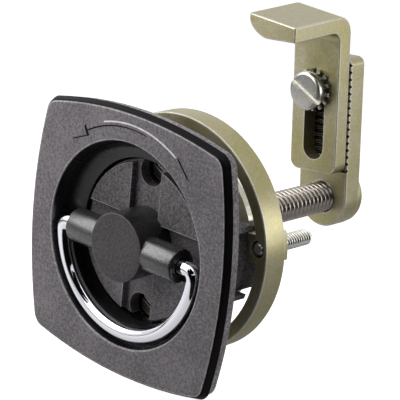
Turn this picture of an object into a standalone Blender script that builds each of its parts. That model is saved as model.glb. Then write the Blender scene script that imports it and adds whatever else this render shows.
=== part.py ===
"""Flush pull latch with a folding pull ring, a clamp ring and an adjustable serrated cam.

The latch turns about the Y axis. X is to the right, Y points into the panel and Z is up.
The origin is on the turning axis, in the plane of the panel's front face, against which
the gasket lies. Lengths are in metres and angles in degrees.
"""

import math

import bmesh
import bpy
from mathutils import Matrix, Vector

# Clearances
SEAT_GAP = 0.0003
RUNNING_GAP = 0.0005

# Bezel and gasket
BEZEL_OVERHANG = 0.00855
BEZEL_SIDE_RADIUS = 0.135
BEZEL_CORNER_RADIUS = 0.0060
BEZEL_THICKNESS = 0.0030
BEZEL_SIDE_DRAFT = 0.0007
BEZEL_EDGE_ROUND = 0.0006
GASKET_THICKNESS = 0.0021
GASKET_INSET = 0.0002

# Dish that the handle lies in
DISH_CURVE_WIDTH = 0.0051
DISH_CURVE_LEDGE = 0.0006
DISH_RIM_CHAMFER = 0.0004
DISH_STRAIGHT_DEPTH = 0.0030
DISH_DRAFT = 0.0006
CUP_WALL = 0.0023
CUP_PILOT_WALL = 0.0013
CUP_PILOT_LENGTH = 0.0010
CUP_TAPER_LENGTH = 0.0033
CUP_FLOOR_THICKNESS = 0.0030

# Handle casting
DISC_RADIUS = 0.0228
DISC_WEB = 0.0032
PAD_DEPTH = 0.0071
PAD_HEIGHT = 0.0020
PAD_LEDGE = 0.0008
PAD_EDGE_ROUND = 0.0003
CHANNEL_WIDTH = 0.0112
BARREL_CHANNEL_WIDTH = 0.0128
HUB_RADIUS = 0.0097
HUB_PROUD = 0.0027
HUB_EDGE_ROUND = 0.0005
BARREL_RADIUS = 0.0048
BARREL_END_GAP = 0.0030
BARREL_DEPTH = 0.0022
BARREL_EDGE_ROUND = 0.0004
ACCESS_HOLE_RADIUS = 0.0042
FIXING_EDGE = 0.0030

# Pull ring
RING_BAR_RADIUS = 0.0022
RING_CLEARANCE = 0.0007
RING_BEND_RADIUS = 0.0024
RING_PIN_DEPTH = 0.0062

# Spindle and what turns with it
SPINDLE_RADIUS = 0.0047625
SPINDLE_END_CHAMFER = 0.0005
SPINDLE_SOCKET_FLOOR = 0.0033
CLIP_GROOVE_DEPTH = 0.0006
CLIP_THICKNESS = 0.0012
CLIP_WIDTH = 0.0038
CLIP_OPENING = 60.0
STOP_CAM_HUB_RADIUS = 0.0082
STOP_CAM_LOBE_INSET = 0.0013
STOP_CAM_LOBE_THICKNESS = 0.0050
HANDLE_TURN = 90.0
STOP_CLEARANCE = 0.9
SEAL_SECTION_RADIUS = 0.0009

# Rear of the cup: posts, bearing plate and its screws
POST_RADIUS = 0.0039
POST_LENGTH = 0.0105
BEARING_PLATE_EDGE = 0.0035
BEARING_PLATE_THICKNESS = 0.0020
CUP_SCREW_RADIUS = 0.0019
CUP_SCREW_HEAD_RADIUS = 0.0034
CUP_SCREW_HEAD_HEIGHT = 0.0020
CUP_SCREW_TAIL = 0.0015
CUP_SCREW_SLOT_WIDTH = 0.0008
CUP_SCREW_SLOT_DEPTH = 0.0010
CUP_SCREW_SLOT_TURN = 28.0

# Ears on both sides of the cup, which guide the clamp ring
EAR_HALF_HEIGHT = 0.0106
EAR_REAR = 0.0152
EAR_RIB = 0.0015
EAR_SINK = 0.0030
TONGUE_THICKNESS = 0.0031
TONGUE_REAR = 0.0270
TONGUE_GROOVES = 4
TONGUE_GROOVE_PITCH = 0.0026
TONGUE_GROOVE_WIDTH = 0.0011
TONGUE_GROOVE_DEPTH = 0.0008
TONGUE_GROOVE_END = 0.0012

# Clamp ring and its jack screws
CLAMP_RING_PLAY = 0.0007
CLAMP_RING_WALL = 0.0038
CLAMP_RING_THICKNESS = 0.0078
CLAMP_RING_FRONT = 0.0150
CLAMP_RING_EDGE_ROUND = 0.0005
CLAMP_RING_TURN = 8.3
CLAMP_BOSS_WIDTH = 0.0082
CLAMP_BOSS_PROUD = 0.0014
JACK_SCREW_RADIUS = 0.0023
JACK_SCREW_LENGTH = 0.0210
JACK_SCREW_SINK = 0.0003
JACK_SCREW_WALL = 0.0007
JACK_SCREW_CHAMFER = 0.0010
JACK_SCREW_TIP_ROUND = 0.0014
JACK_SCREW_SLOT_WIDTH = 0.0008
JACK_SCREW_SLOT_DEPTH = 0.0012

# Cam arm
ARM_FRONT = 0.0789
ARM_THICKNESS = 0.0064
ARM_WIDTH = 0.0184
ARM_TOP = 0.0436
ARM_TOP_ROUND = 0.0024
ARM_BOSS_LENGTH = 0.0086
ARM_BOSS_STEP = 0.0001
ARM_LEAN = 5.14
SERRATION_COUNT = 16
SERRATION_PITCH = 0.00214
SERRATION_FIRST = 0.0093
SERRATION_DEPTH = 0.0007
SERRATION_WIDTH = 0.0012
SERRATION_LAND = 0.00003

# Hook bar
HOOK_WIDTH = 0.0176
HOOK_THICKNESS = 0.0050
HOOK_LEG_THICKNESS = 0.0048
HOOK_TOP = 0.0568
HOOK_BOTTOM = 0.0086
HOOK_REACH = 0.0204
HOOK_OUTER_ROUND = 0.0050
HOOK_INNER_ROUND = 0.0030
HOOK_FOOT_ROUND = 0.0034
HOOK_LEAD_WIDTH = 0.0065
HOOK_LEAD_HEIGHT = 0.0043
HOOK_EDGE_ROUND = 0.0004
SLOT_HALF_WIDTH = 0.0038
SLOT_UP_TRAVEL = 0.0175
SLOT_DOWN_TRAVEL = 0.0010

# Cam screw and its star washer
CAM_SCREW_HEIGHT = 0.0337
CAM_SCREW_RADIUS = 0.0030
CAM_SCREW_HEAD_RADIUS = 0.0060
CAM_SCREW_HEAD_HEIGHT = 0.0032
CAM_SCREW_HEAD_ROUND = 0.0014
CAM_SCREW_SLOT_WIDTH = 0.0015
CAM_SCREW_SLOT_DEPTH = 0.0014
CAM_SCREW_SLOT_TURN = -30.0
STAR_WASHER_RADIUS = 0.0068
STAR_WASHER_TOOTH = 0.0014
STAR_WASHER_TEETH = 14
STAR_WASHER_THICKNESS = 0.0009

# Double-headed turning arrow sunk in the bezel's face
ARROW_RADIUS = 0.03365
ARROW_LINE_WIDTH = 0.0011
ARROW_HEAD_WIDTH = 0.0029
ARROW_HALF_SPAN = 30.0
ARROW_HEAD_SPAN = 13.5
ARROW_DEPTH = 0.0004

# Depths along Y, worked out from the sizes above
BEZEL_BACK = -GASKET_THICKNESS - SEAT_GAP
FACE = BEZEL_BACK - BEZEL_THICKNESS
PAD_FRONT = FACE + PAD_DEPTH
WEB_FRONT = PAD_FRONT + PAD_HEIGHT
DISC_BACK = WEB_FRONT + DISC_WEB
CUP_FLOOR = DISC_BACK + SEAT_GAP
CUP_BACK = CUP_FLOOR + CUP_FLOOR_THICKNESS
PLATE_FRONT = CUP_BACK + POST_LENGTH + SEAT_GAP
PLATE_BACK = PLATE_FRONT + BEARING_PLATE_THICKNESS
BARREL_AXIS_DEPTH = FACE + BARREL_DEPTH
HUB_FRONT = FACE - HUB_PROUD
SPINDLE_FRONT = HUB_FRONT + SPINDLE_SOCKET_FLOOR + SEAT_GAP
ARM_BOSS_BACK = ARM_FRONT + ARM_BOSS_LENGTH
SPINDLE_BACK = ARM_BOSS_BACK - SPINDLE_END_CHAMFER
HOOK_BACK = ARM_FRONT - SEAT_GAP
HOOK_FRONT = HOOK_BACK - HOOK_THICKNESS

# Radii and widths worked out from the sizes above, from the handle's disc outwards
DISH_FLOOR_RADIUS = DISC_RADIUS + RUNNING_GAP
DISH_STRAIGHT_RADIUS = DISH_FLOOR_RADIUS + DISH_CURVE_WIDTH
DISH_RIM_RADIUS = DISH_STRAIGHT_RADIUS + DISH_DRAFT
CUP_PILOT_RADIUS = DISH_STRAIGHT_RADIUS + CUP_PILOT_WALL
BEZEL_WIDTH = 2 * (CUP_PILOT_RADIUS + BEZEL_OVERHANG)
RING_RADIUS = DISH_STRAIGHT_RADIUS - RING_CLEARANCE - RING_BAR_RADIUS
BARREL_LENGTH = 2 * (RING_RADIUS - RING_BAR_RADIUS - BARREL_END_GAP)
FIXING_CIRCLE_RADIUS = DISC_RADIUS - FIXING_EDGE
BEARING_PLATE_RADIUS = FIXING_CIRCLE_RADIUS + BEARING_PLATE_EDGE
STOP_CAM_LOBE_RADIUS = FIXING_CIRCLE_RADIUS - STOP_CAM_LOBE_INSET
BORE_RADIUS = SPINDLE_RADIUS + SEAT_GAP
CLAMP_RING_INNER_RADIUS = CUP_PILOT_RADIUS + CLAMP_RING_PLAY
CLAMP_RING_OUTER_RADIUS = CLAMP_RING_INNER_RADIUS + CLAMP_RING_WALL
TONGUE_INNER_RADIUS = BEARING_PLATE_RADIUS + 2 * SEAT_GAP
TONGUE_OUTER_RADIUS = TONGUE_INNER_RADIUS + TONGUE_THICKNESS
CLAMP_BOSS_INNER_RADIUS = TONGUE_OUTER_RADIUS + RUNNING_GAP
JACK_SCREW_CIRCLE_RADIUS = CLAMP_RING_OUTER_RADIUS - JACK_SCREW_WALL - SEAT_GAP - JACK_SCREW_RADIUS

FINE = 56
MEDIUM = 36
SMALL = 20
MERGE = 0.00001
OVERSHOOT = 0.0010

# Local XY becomes the panel's XZ plane, and local +Z points out of the panel
UPRIGHT = (math.radians(90.0), 0.0, 0.0)

COLOURS = {
    "grained_plastic": ((0.072, 0.068, 0.070), 0.52, 0.0),
    "rubber": ((0.060, 0.058, 0.060), 0.80, 0.0),
    "chrome": ((0.86, 0.86, 0.88), 0.06, 1.0),
    "yellow_zinc": ((0.50, 0.46, 0.30), 0.34, 0.9),
    "bright_steel": ((0.62, 0.62, 0.60), 0.30, 1.0),
    "stainless": ((0.50, 0.47, 0.44), 0.28, 1.0),
    "soft_rubber": ((0.02, 0.02, 0.02), 0.70, 0.0),
}


def clear_scene():
    """Remove every object, so that the script starts from an empty scene."""
    for old in list(bpy.data.objects):
        bpy.data.objects.remove(old, do_unlink=True)


def make_collection(name):
    """Return a new collection linked to the scene."""
    collection = bpy.data.collections.new(name)
    bpy.context.scene.collection.children.link(collection)
    return collection


def make_material(name, finish):
    """Return a material of the named finish for one piece."""
    colour, roughness, metallic = COLOURS[finish]
    material = bpy.data.materials.new(name)
    material.use_nodes = True
    shader = material.node_tree.nodes["Principled BSDF"]
    shader.inputs["Base Color"].default_value = (*colour, 1.0)
    shader.inputs["Roughness"].default_value = roughness
    shader.inputs["Metallic"].default_value = metallic
    material.diffuse_color = (*colour, 1.0)
    return material


def finish_piece(piece, name, finish):
    """Name a finished piece, give it its material and file it with the latch's parts."""
    piece.name = name
    piece.data.name = name
    piece.data.materials.clear()
    piece.data.materials.append(make_material(name, finish))
    piece.data.shade_smooth()
    piece.data.set_sharp_from_angle(angle=math.radians(30.0))
    PARTS.objects.link(piece)
    HELPERS.objects.unlink(piece)
    piece.hide_render = False
    piece.display_type = "TEXTURED"
    return piece


def add_helper(name, mesh, depth=0.0, rotation=UPRIGHT):
    """Add a mesh as an object of the helpers' collection, at a depth along Y."""
    helper = bpy.data.objects.new(name, mesh)
    helper.location = (0.0, depth, 0.0)
    helper.rotation_euler = rotation
    helper.hide_render = True
    helper.display_type = "WIRE"
    HELPERS.objects.link(helper)
    return helper


def polar(radius, angle, centre=(0.0, 0.0)):
    """Return the point at a radius and an angle from a centre."""
    turn = math.radians(angle)
    return centre[0] + radius * math.cos(turn), centre[1] + radius * math.sin(turn)


def arc(radius, start, end, steps, centre=(0.0, 0.0)):
    """Return points on an arc, both ends included."""
    return [polar(radius, start + (end - start) * i / steps, centre) for i in range(steps + 1)]


def turned(name, profile, segments=FINE, closed=False, half_step=False):
    """Turn a profile of (radius, depth) points about the Y axis.

    The profile runs from front to back along its outer side. A closed one makes a ring.
    Half a step of turn keeps a cutter's edges clear of the edges that it cuts.
    """
    mesh = bpy.data.meshes.new(name)
    shape = bmesh.new()
    corners = [shape.verts.new((radius, 0.0, -depth)) for radius, depth in profile]
    for first, second in zip(corners, corners[1:]):
        shape.edges.new((first, second))
    if closed:
        shape.edges.new((corners[-1], corners[0]))
    shape.to_mesh(mesh)
    shape.free()
    piece = add_helper(name, mesh)
    screw = piece.modifiers.new("turn", "SCREW")
    screw.axis = "Z"
    screw.angle = math.radians(360.0)
    screw.steps = segments
    screw.render_steps = segments
    screw.use_merge_vertices = True
    screw.merge_threshold = MERGE
    screw.use_normal_calculate = False
    if half_step:
        piece.rotation_euler.y = math.radians(180.0 / segments)
    return piece


def curve_mesh(name, curve):
    """Return a curve as a closed mesh with flat faces in one piece."""
    source = bpy.data.objects.new(name + "_curve", curve)
    HELPERS.objects.link(source)
    bpy.context.view_layer.update()
    graph = bpy.context.evaluated_depsgraph_get()
    mesh = bpy.data.meshes.new_from_object(source.evaluated_get(graph))
    bpy.data.objects.remove(source)
    shape = bmesh.new()
    shape.from_mesh(mesh)
    bmesh.ops.remove_doubles(shape, verts=shape.verts, dist=MERGE / 10)
    bmesh.ops.dissolve_limit(shape, angle_limit=math.radians(0.3), verts=shape.verts, edges=shape.edges)
    bmesh.ops.recalc_face_normals(shape, faces=shape.faces)
    shape.to_mesh(mesh)
    shape.free()
    return mesh


def flat_plate(name, outline, front, back, rotation=UPRIGHT, holes=()):
    """Extrude an outline of (x, z) points between two depths along Y, as a mesh."""
    curve = bpy.data.curves.new(name, "CURVE")
    curve.dimensions = "2D"
    curve.fill_mode = "BOTH"
    curve.extrude = (back - front) / 2
    for loop in (outline, *holes):
        spline = curve.splines.new("POLY")
        spline.points.add(len(loop) - 1)
        spline.use_cyclic_u = True
        for point, place in zip(spline.points, loop):
            point.co = (place[0], place[1], 0.0, 1.0)
    return add_helper(name, curve_mesh(name, curve), (front + back) / 2, rotation)


def box(name, low, high):
    """Return a box between two corners, with its sides along the axes."""
    shape = bmesh.new()
    bmesh.ops.create_cube(shape, size=1.0)
    size = Vector(high) - Vector(low)
    bmesh.ops.scale(shape, vec=size, verts=shape.verts)
    bmesh.ops.translate(shape, vec=(Vector(high) + Vector(low)) / 2, verts=shape.verts)
    mesh = bpy.data.meshes.new(name)
    shape.to_mesh(mesh)
    shape.free()
    return add_helper(name, mesh, rotation=(0.0, 0.0, 0.0))


def rod(name, radius, front, back, place=(0.0, 0.0), segments=SMALL):
    """Return a round bar along Y, between two depths, at an (x, z) place."""
    shape = bmesh.new()
    turn = Matrix.Rotation(math.radians(90.0), 4, "X") @ Matrix.Rotation(math.pi / segments / 2, 4, "Z")
    bmesh.ops.create_cone(
        shape, cap_ends=True, segments=segments, radius1=radius, radius2=radius, depth=back - front, matrix=turn
    )
    bmesh.ops.translate(shape, vec=(place[0], (front + back) / 2, place[1]), verts=shape.verts)
    mesh = bpy.data.meshes.new(name)
    shape.to_mesh(mesh)
    shape.free()
    return add_helper(name, mesh, rotation=(0.0, 0.0, 0.0))


def cross_bar(name, radius, left, right, depth, segments=SMALL):
    """Return a round bar along X at a depth on the turning axis."""
    shape = bmesh.new()
    turn = Matrix.Rotation(math.radians(90.0), 4, "Y") @ Matrix.Rotation(math.pi / segments, 4, "Z")
    bmesh.ops.create_cone(
        shape, cap_ends=True, segments=segments, radius1=radius, radius2=radius, depth=right - left, matrix=turn
    )
    bmesh.ops.translate(shape, vec=((left + right) / 2, depth, 0.0), verts=shape.verts)
    mesh = bpy.data.meshes.new(name)
    shape.to_mesh(mesh)
    shape.free()
    return add_helper(name, mesh, rotation=(0.0, 0.0, 0.0))


def combine(piece, other, operation):
    """Add a Boolean of another helper to a piece."""
    step = piece.modifiers.new(operation.lower(), "BOOLEAN")
    step.operation = operation
    step.solver = "EXACT"
    step.object = other
    return piece


def cut(piece, *cutters):
    """Cut each of the cutters out of a piece."""
    for cutter in cutters:
        combine(piece, cutter, "DIFFERENCE")
    return piece


def join(piece, *others):
    """Join each of the other shapes to a piece."""
    for other in others:
        combine(piece, other, "UNION")
    return piece


def round_edges(piece, width, angle=40.0, segments=1):
    """Bevel the edges that are sharper than an angle."""
    step = piece.modifiers.new("edges", "BEVEL")
    step.width = width
    step.segments = segments
    step.limit_method = "ANGLE"
    step.angle_limit = math.radians(angle)
    step.use_clamp_overlap = True
    return piece


def bowed_square(width, side_radius, corner_radius, side_steps=10, corner_steps=5):
    """Return the outline of a square with bowed sides and round corners."""
    half = width / 2
    centre = half - side_radius
    reach = side_radius - corner_radius
    # The corner's centre lies on the diagonal, where its arc touches both sides
    corner = (centre + math.sqrt(2 * reach * reach - centre * centre)) / 2
    side_angle = math.degrees(math.atan2(corner, corner - centre))
    quarter = arc(side_radius, -side_angle, side_angle, side_steps, (centre, 0.0))
    quarter += arc(corner_radius, side_angle, 90.0 - side_angle, corner_steps, (corner, corner))[1:-1]
    outline = []
    for turn in range(4):
        spin = Matrix.Rotation(math.radians(90.0 * turn), 2)
        outline += [tuple(spin @ Vector(point)) for point in quarter]
    return outline


def drafted_plate(name, front_outline, back_outline, front, back):
    """Make a plate whose sides slope from its front outline to its back outline."""
    shape = bmesh.new()
    loops = []
    for outline, depth in ((front_outline, front), (back_outline, back)):
        corners = [shape.verts.new((x, depth, z)) for x, z in outline]
        shape.faces.new(corners)
        loops += [shape.edges.get(pair) for pair in zip(corners, corners[1:] + corners[:1])]
    bmesh.ops.bridge_loops(shape, edges=loops)
    bmesh.ops.recalc_face_normals(shape, faces=shape.faces)
    mesh = bpy.data.meshes.new(name)
    shape.to_mesh(mesh)
    shape.free()
    return add_helper(name, mesh, rotation=(0.0, 0.0, 0.0))


def bezel_outline(inset=0.0):
    """Return the bezel's outline, drawn in by an inset."""
    return bowed_square(
        BEZEL_WIDTH - 2 * inset, BEZEL_SIDE_RADIUS - inset, BEZEL_CORNER_RADIUS - inset
    )


def dish_cutter():
    """Return the hollow of the dish, the recess for the handle's disc and the spindle's bore."""
    straight_end = FACE + DISH_STRAIGHT_DEPTH
    curve_end = PAD_FRONT + DISH_CURVE_LEDGE
    steps = 7
    curve = []
    for i in range(steps + 1):
        turn = math.radians(90.0 * i / steps)
        radius = DISH_FLOOR_RADIUS + DISH_CURVE_WIDTH * math.cos(turn)
        curve.append((radius, straight_end + (curve_end - straight_end) * math.sin(turn)))
    seal_pocket = BORE_RADIUS + 2 * SEAL_SECTION_RADIUS + SEAT_GAP
    seal_floor = CUP_FLOOR + 2 * SEAL_SECTION_RADIUS + 2 * SEAT_GAP
    profile = [
        (0.0, FACE - OVERSHOOT),
        (DISH_RIM_RADIUS + DISH_RIM_CHAMFER, FACE - OVERSHOOT),
        (DISH_RIM_RADIUS + DISH_RIM_CHAMFER, FACE),
        (DISH_RIM_RADIUS, FACE + DISH_RIM_CHAMFER),
        *curve,
        (DISH_FLOOR_RADIUS, CUP_FLOOR),
        (seal_pocket, CUP_FLOOR),
        (seal_pocket, seal_floor),
        (BORE_RADIUS, seal_floor),
        (BORE_RADIUS, CUP_BACK + OVERSHOOT),
        (0.0, CUP_BACK + OVERSHOOT),
    ]
    return turned("dish_hollow", profile, half_step=True)


def cup_body():
    """Return the outside of the cup behind the bezel, with its pilot for the panel's hole."""
    start = (FACE + BEZEL_BACK) / 2
    rear_radius = DISH_FLOOR_RADIUS + CUP_WALL
    taper_end = CUP_PILOT_LENGTH + CUP_TAPER_LENGTH
    profile = [
        (0.0, start),
        (CUP_PILOT_RADIUS, start),
        (CUP_PILOT_RADIUS, CUP_PILOT_LENGTH),
        (TONGUE_OUTER_RADIUS - SEAT_GAP, taper_end),
        (rear_radius, taper_end + CUP_TAPER_LENGTH),
        (rear_radius, CUP_BACK),
        (0.0, CUP_BACK),
    ]
    return turned("cup_body", profile)


def ear_outline():
    """Return the section of the right ear, with the two ribs that guide the clamp ring."""
    channel_half = EAR_HALF_HEIGHT - EAR_RIB
    outer = CUP_PILOT_RADIUS
    floor = TONGUE_OUTER_RADIUS
    tip = math.degrees(math.asin(EAR_HALF_HEIGHT / outer))
    rib = math.degrees(math.asin(channel_half / outer))
    side = math.degrees(math.asin(channel_half / floor))
    points = [(TONGUE_INNER_RADIUS - EAR_SINK, -EAR_HALF_HEIGHT)]
    points += arc(outer, -tip, -rib, 2)
    points += arc(floor, -side, side, 8)
    points += arc(outer, rib, tip, 2)
    points.append((TONGUE_INNER_RADIUS - EAR_SINK, EAR_HALF_HEIGHT))
    return points


def tongue_outline():
    """Return the section of the right tongue, which runs on behind the ear."""
    half = EAR_HALF_HEIGHT - EAR_RIB
    inner = math.degrees(math.asin(half / TONGUE_INNER_RADIUS))
    outer = math.degrees(math.asin(half / TONGUE_OUTER_RADIUS))
    return arc(TONGUE_OUTER_RADIUS, -outer, outer, 8) + arc(TONGUE_INNER_RADIUS, inner, -inner, 8)


def mirrored(outline):
    """Return an outline turned half way round the axis."""
    return [(-x, -z) for x, z in outline]


def tongue_groove_cutter(side, index):
    """Return one of the cross grooves in a tongue's outer face."""
    depth = TONGUE_REAR - TONGUE_GROOVE_PITCH * (index + 1)
    inner = TONGUE_OUTER_RADIUS - TONGUE_GROOVE_DEPTH
    outer = TONGUE_OUTER_RADIUS + OVERSHOOT
    half = EAR_HALF_HEIGHT - EAR_RIB - TONGUE_GROOVE_END
    inner_angle = math.degrees(math.asin(half / inner))
    outer_angle = math.degrees(math.asin(half / outer))
    outline = arc(outer, -outer_angle, outer_angle, 6) + arc(inner, inner_angle, -inner_angle, 6)
    if side < 0:
        outline = mirrored(outline)
    return flat_plate("tongue_groove", outline, depth - TONGUE_GROOVE_WIDTH / 2, depth + TONGUE_GROOVE_WIDTH / 2)


def arrow_cutter():
    """Return the double-headed turning arrow that is sunk in the face."""
    half_line = ARROW_LINE_WIDTH / 2
    half_head = ARROW_HEAD_WIDTH / 2
    right = 90.0 - ARROW_HALF_SPAN
    left = 90.0 + ARROW_HALF_SPAN
    outline = arc(ARROW_RADIUS + half_line, right, left, 14)
    outline.append(polar(ARROW_RADIUS + half_head, left))
    outline.append(polar(ARROW_RADIUS, left + ARROW_HEAD_SPAN))
    outline.append(polar(ARROW_RADIUS - half_head, left))
    outline += arc(ARROW_RADIUS - half_line, left, right, 14)
    outline.append(polar(ARROW_RADIUS - half_head, right))
    outline.append(polar(ARROW_RADIUS, right - ARROW_HEAD_SPAN))
    outline.append(polar(ARROW_RADIUS + half_head, right))
    return flat_plate("arrow", outline, FACE - OVERSHOOT, FACE + ARROW_DEPTH)


def fixing_places():
    """Return the (x, z) places of the two screws that hold the bearing plate."""
    return {"top": (0.0, FIXING_CIRCLE_RADIUS), "bottom": (0.0, -FIXING_CIRCLE_RADIUS)}


def make_bezel_cup():
    """Make the moulded bezel with its dish, ears, tongues and posts."""
    piece = drafted_plate("bezel_cup", bezel_outline(BEZEL_SIDE_DRAFT), bezel_outline(), FACE, BEZEL_BACK)
    round_edges(piece, BEZEL_EDGE_ROUND, 60.0, 2)
    join(piece, cup_body())
    ear = ear_outline()
    tongue = tongue_outline()
    for outline in (ear, mirrored(ear)):
        join(piece, flat_plate("ear", outline, CUP_PILOT_LENGTH + CUP_TAPER_LENGTH, EAR_REAR))
    for outline in (tongue, mirrored(tongue)):
        join(piece, flat_plate("tongue", outline, EAR_REAR - OVERSHOOT, TONGUE_REAR))
    for place in fixing_places().values():
        join(piece, rod("post", POST_RADIUS, CUP_BACK - OVERSHOOT, CUP_BACK + POST_LENGTH, place))
    cut(piece, dish_cutter(), arrow_cutter())
    for place in fixing_places().values():
        head = CUP_SCREW_HEAD_RADIUS + SEAT_GAP
        head_back = CUP_FLOOR + CUP_SCREW_HEAD_HEIGHT + SEAT_GAP
        cut(piece, rod("screw_head_pocket", head, CUP_FLOOR - OVERSHOOT, head_back, place))
        hole = CUP_SCREW_RADIUS + SEAT_GAP
        cut(piece, rod("screw_hole", hole, CUP_FLOOR, CUP_BACK + POST_LENGTH + OVERSHOOT, place))
    for side in (1, -1):
        for index in range(TONGUE_GROOVES):
            cut(piece, tongue_groove_cutter(side, index))
    return finish_piece(piece, "bezel_cup", "grained_plastic")


def make_gasket():
    """Make the flat gasket between the bezel and the panel."""
    hole = arc(CUP_PILOT_RADIUS + SEAT_GAP, 0.0, 360.0, FINE)[:-1]
    piece = flat_plate("gasket", bezel_outline(GASKET_INSET), -GASKET_THICKNESS, 0.0, holes=(hole,))
    return finish_piece(piece, "gasket", "rubber")


def pad_outline(sign_x, sign_z):
    """Return the outline of one of the four pads that stand on the handle's disc."""
    radius = DISC_RADIUS - PAD_LEDGE
    side = CHANNEL_WIDTH / 2
    foot = BARREL_CHANNEL_WIDTH / 2
    start = math.degrees(math.asin(foot / radius))
    end = math.degrees(math.acos(side / radius))
    outline = [(side, foot), *arc(radius, start, end, 10)]
    return [(sign_x * x, sign_z * z) for x, z in outline]


def make_handle():
    """Make the handle casting: a disc with four pads, a hub and a barrel for the pull ring."""
    disc = [(0.0, WEB_FRONT), (DISC_RADIUS, WEB_FRONT), (DISC_RADIUS, DISC_BACK), (0.0, DISC_BACK)]
    piece = turned("handle", disc)
    for sign_x, sign_z in ((1, 1), (-1, 1), (-1, -1), (1, -1)):
        pad = flat_plate("pad", pad_outline(sign_x, sign_z), PAD_FRONT, WEB_FRONT + DISC_WEB / 2)
        join(piece, round_edges(pad, PAD_EDGE_ROUND, 60.0))
    hub = [
        (0.0, HUB_FRONT),
        (HUB_RADIUS - HUB_EDGE_ROUND, HUB_FRONT),
        (HUB_RADIUS, HUB_FRONT + HUB_EDGE_ROUND),
        (HUB_RADIUS, WEB_FRONT + DISC_WEB / 2),
        (0.0, WEB_FRONT + DISC_WEB / 2),
    ]
    join(piece, turned("hub", hub, MEDIUM, half_step=True))
    half = BARREL_LENGTH / 2
    barrel = cross_bar("barrel", BARREL_RADIUS, -half, half, BARREL_AXIS_DEPTH, MEDIUM)
    join(piece, round_edges(barrel, BARREL_EDGE_ROUND, 60.0))
    for place in fixing_places().values():
        cut(piece, rod("access_hole", ACCESS_HOLE_RADIUS, PAD_FRONT - OVERSHOOT, DISC_BACK + OVERSHOOT, place))
    cut(piece, rod("spindle_socket", BORE_RADIUS, HUB_FRONT + SPINDLE_SOCKET_FLOOR, DISC_BACK + OVERSHOOT))
    pin_hole = RING_BAR_RADIUS + SEAT_GAP
    inner = half - RING_PIN_DEPTH - SEAT_GAP
    for side in (-1, 1):
        left, right = sorted((side * inner, side * (half + OVERSHOOT)))
        cut(piece, cross_bar("pin_hole", pin_hole, left, right, BARREL_AXIS_DEPTH))
    return finish_piece(piece, "handle", "grained_plastic")


def ring_path():
    """Return the (x, z) points of the pull ring's centre line, from pin end to pin end."""
    pin_end = BARREL_LENGTH / 2 - RING_PIN_DEPTH
    bend_reach = RING_RADIUS - RING_BEND_RADIUS
    slope = math.degrees(math.asin(RING_BEND_RADIUS / bend_reach))
    bend_centre = polar(bend_reach, -slope)
    right = [(pin_end, 0.0)]
    right += arc(RING_BEND_RADIUS, 90.0, -slope, 6, bend_centre)
    bow = arc(RING_RADIUS, -slope, -90.0, 16)[1:]
    half = right + bow
    return half + [(-x, z) for x, z in reversed(half[:-1])]


def make_pull_ring():
    """Make the pull ring: a round bar bent to a half ring, with its ends turned in as pins."""
    curve = bpy.data.curves.new("pull_ring", "CURVE")
    curve.dimensions = "3D"
    curve.bevel_depth = RING_BAR_RADIUS
    curve.bevel_resolution = 4
    curve.use_fill_caps = True
    path = ring_path()
    spline = curve.splines.new("POLY")
    spline.points.add(len(path) - 1)
    for point, (x, z) in zip(spline.points, path):
        point.co = (x, 0.0, z, 1.0)
    piece = add_helper("pull_ring", curve_mesh("pull_ring", curve), BARREL_AXIS_DEPTH, (0.0, 0.0, 0.0))
    return finish_piece(piece, "pull_ring", "chrome")


def make_spindle():
    """Make the spindle, which joins the handle to the cam arm and has a clip groove."""
    groove_radius = SPINDLE_RADIUS - CLIP_GROOVE_DEPTH
    groove_front = PLATE_BACK
    groove_back = PLATE_BACK + CLIP_THICKNESS + 2 * SEAT_GAP
    profile = [
        (0.0, SPINDLE_FRONT),
        (SPINDLE_RADIUS - SPINDLE_END_CHAMFER, SPINDLE_FRONT),
        (SPINDLE_RADIUS, SPINDLE_FRONT + SPINDLE_END_CHAMFER),
        (SPINDLE_RADIUS, groove_front),
        (groove_radius, groove_front),
        (groove_radius, groove_back),
        (SPINDLE_RADIUS, groove_back),
        (SPINDLE_RADIUS, SPINDLE_BACK - SPINDLE_END_CHAMFER),
        (SPINDLE_RADIUS - SPINDLE_END_CHAMFER, SPINDLE_BACK),
        (0.0, SPINDLE_BACK),
    ]
    return finish_piece(turned("threaded_spindle", profile, MEDIUM), "threaded_spindle", "stainless")


def make_spindle_seal():
    """Make the O-ring that seals the spindle in the cup's floor."""
    centre = BORE_RADIUS + SEAL_SECTION_RADIUS
    depth = CUP_FLOOR + SEAT_GAP + SEAL_SECTION_RADIUS
    profile = arc(SEAL_SECTION_RADIUS, 180.0, 540.0, 8, (centre, depth))[:-1]
    return finish_piece(turned("spindle_seal", profile, SMALL, closed=True), "spindle_seal", "soft_rubber")


def post_half_angle():
    """Return half of the angle that a post takes up at the stop cam's lobes."""
    return math.degrees(math.asin(POST_RADIUS / FIXING_CIRCLE_RADIUS))


def make_stop_cam():
    """Make the stop cam, whose two lobes meet the posts at both ends of the handle's turn."""
    start = post_half_angle() + STOP_CLEARANCE
    end = 180.0 - start - HANDLE_TURN
    front = CUP_BACK + SEAT_GAP
    back = PLATE_FRONT - SEAT_GAP
    hub = [
        (BORE_RADIUS, front),
        (STOP_CAM_HUB_RADIUS, front),
        (STOP_CAM_HUB_RADIUS, back),
        (BORE_RADIUS, back),
    ]
    piece = turned("stop_cam", hub, MEDIUM, closed=True)
    root = (STOP_CAM_HUB_RADIUS + BORE_RADIUS) / 2
    lobe = arc(STOP_CAM_LOBE_RADIUS, 90.0 - start, 90.0 - end, 12)
    lobe += arc(root, 90.0 - end, 90.0 - start, 6)
    for outline in (lobe, mirrored(lobe)):
        join(piece, flat_plate("lobe", outline, front, front + STOP_CAM_LOBE_THICKNESS))
    return finish_piece(piece, "stop_cam", "yellow_zinc")


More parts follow.
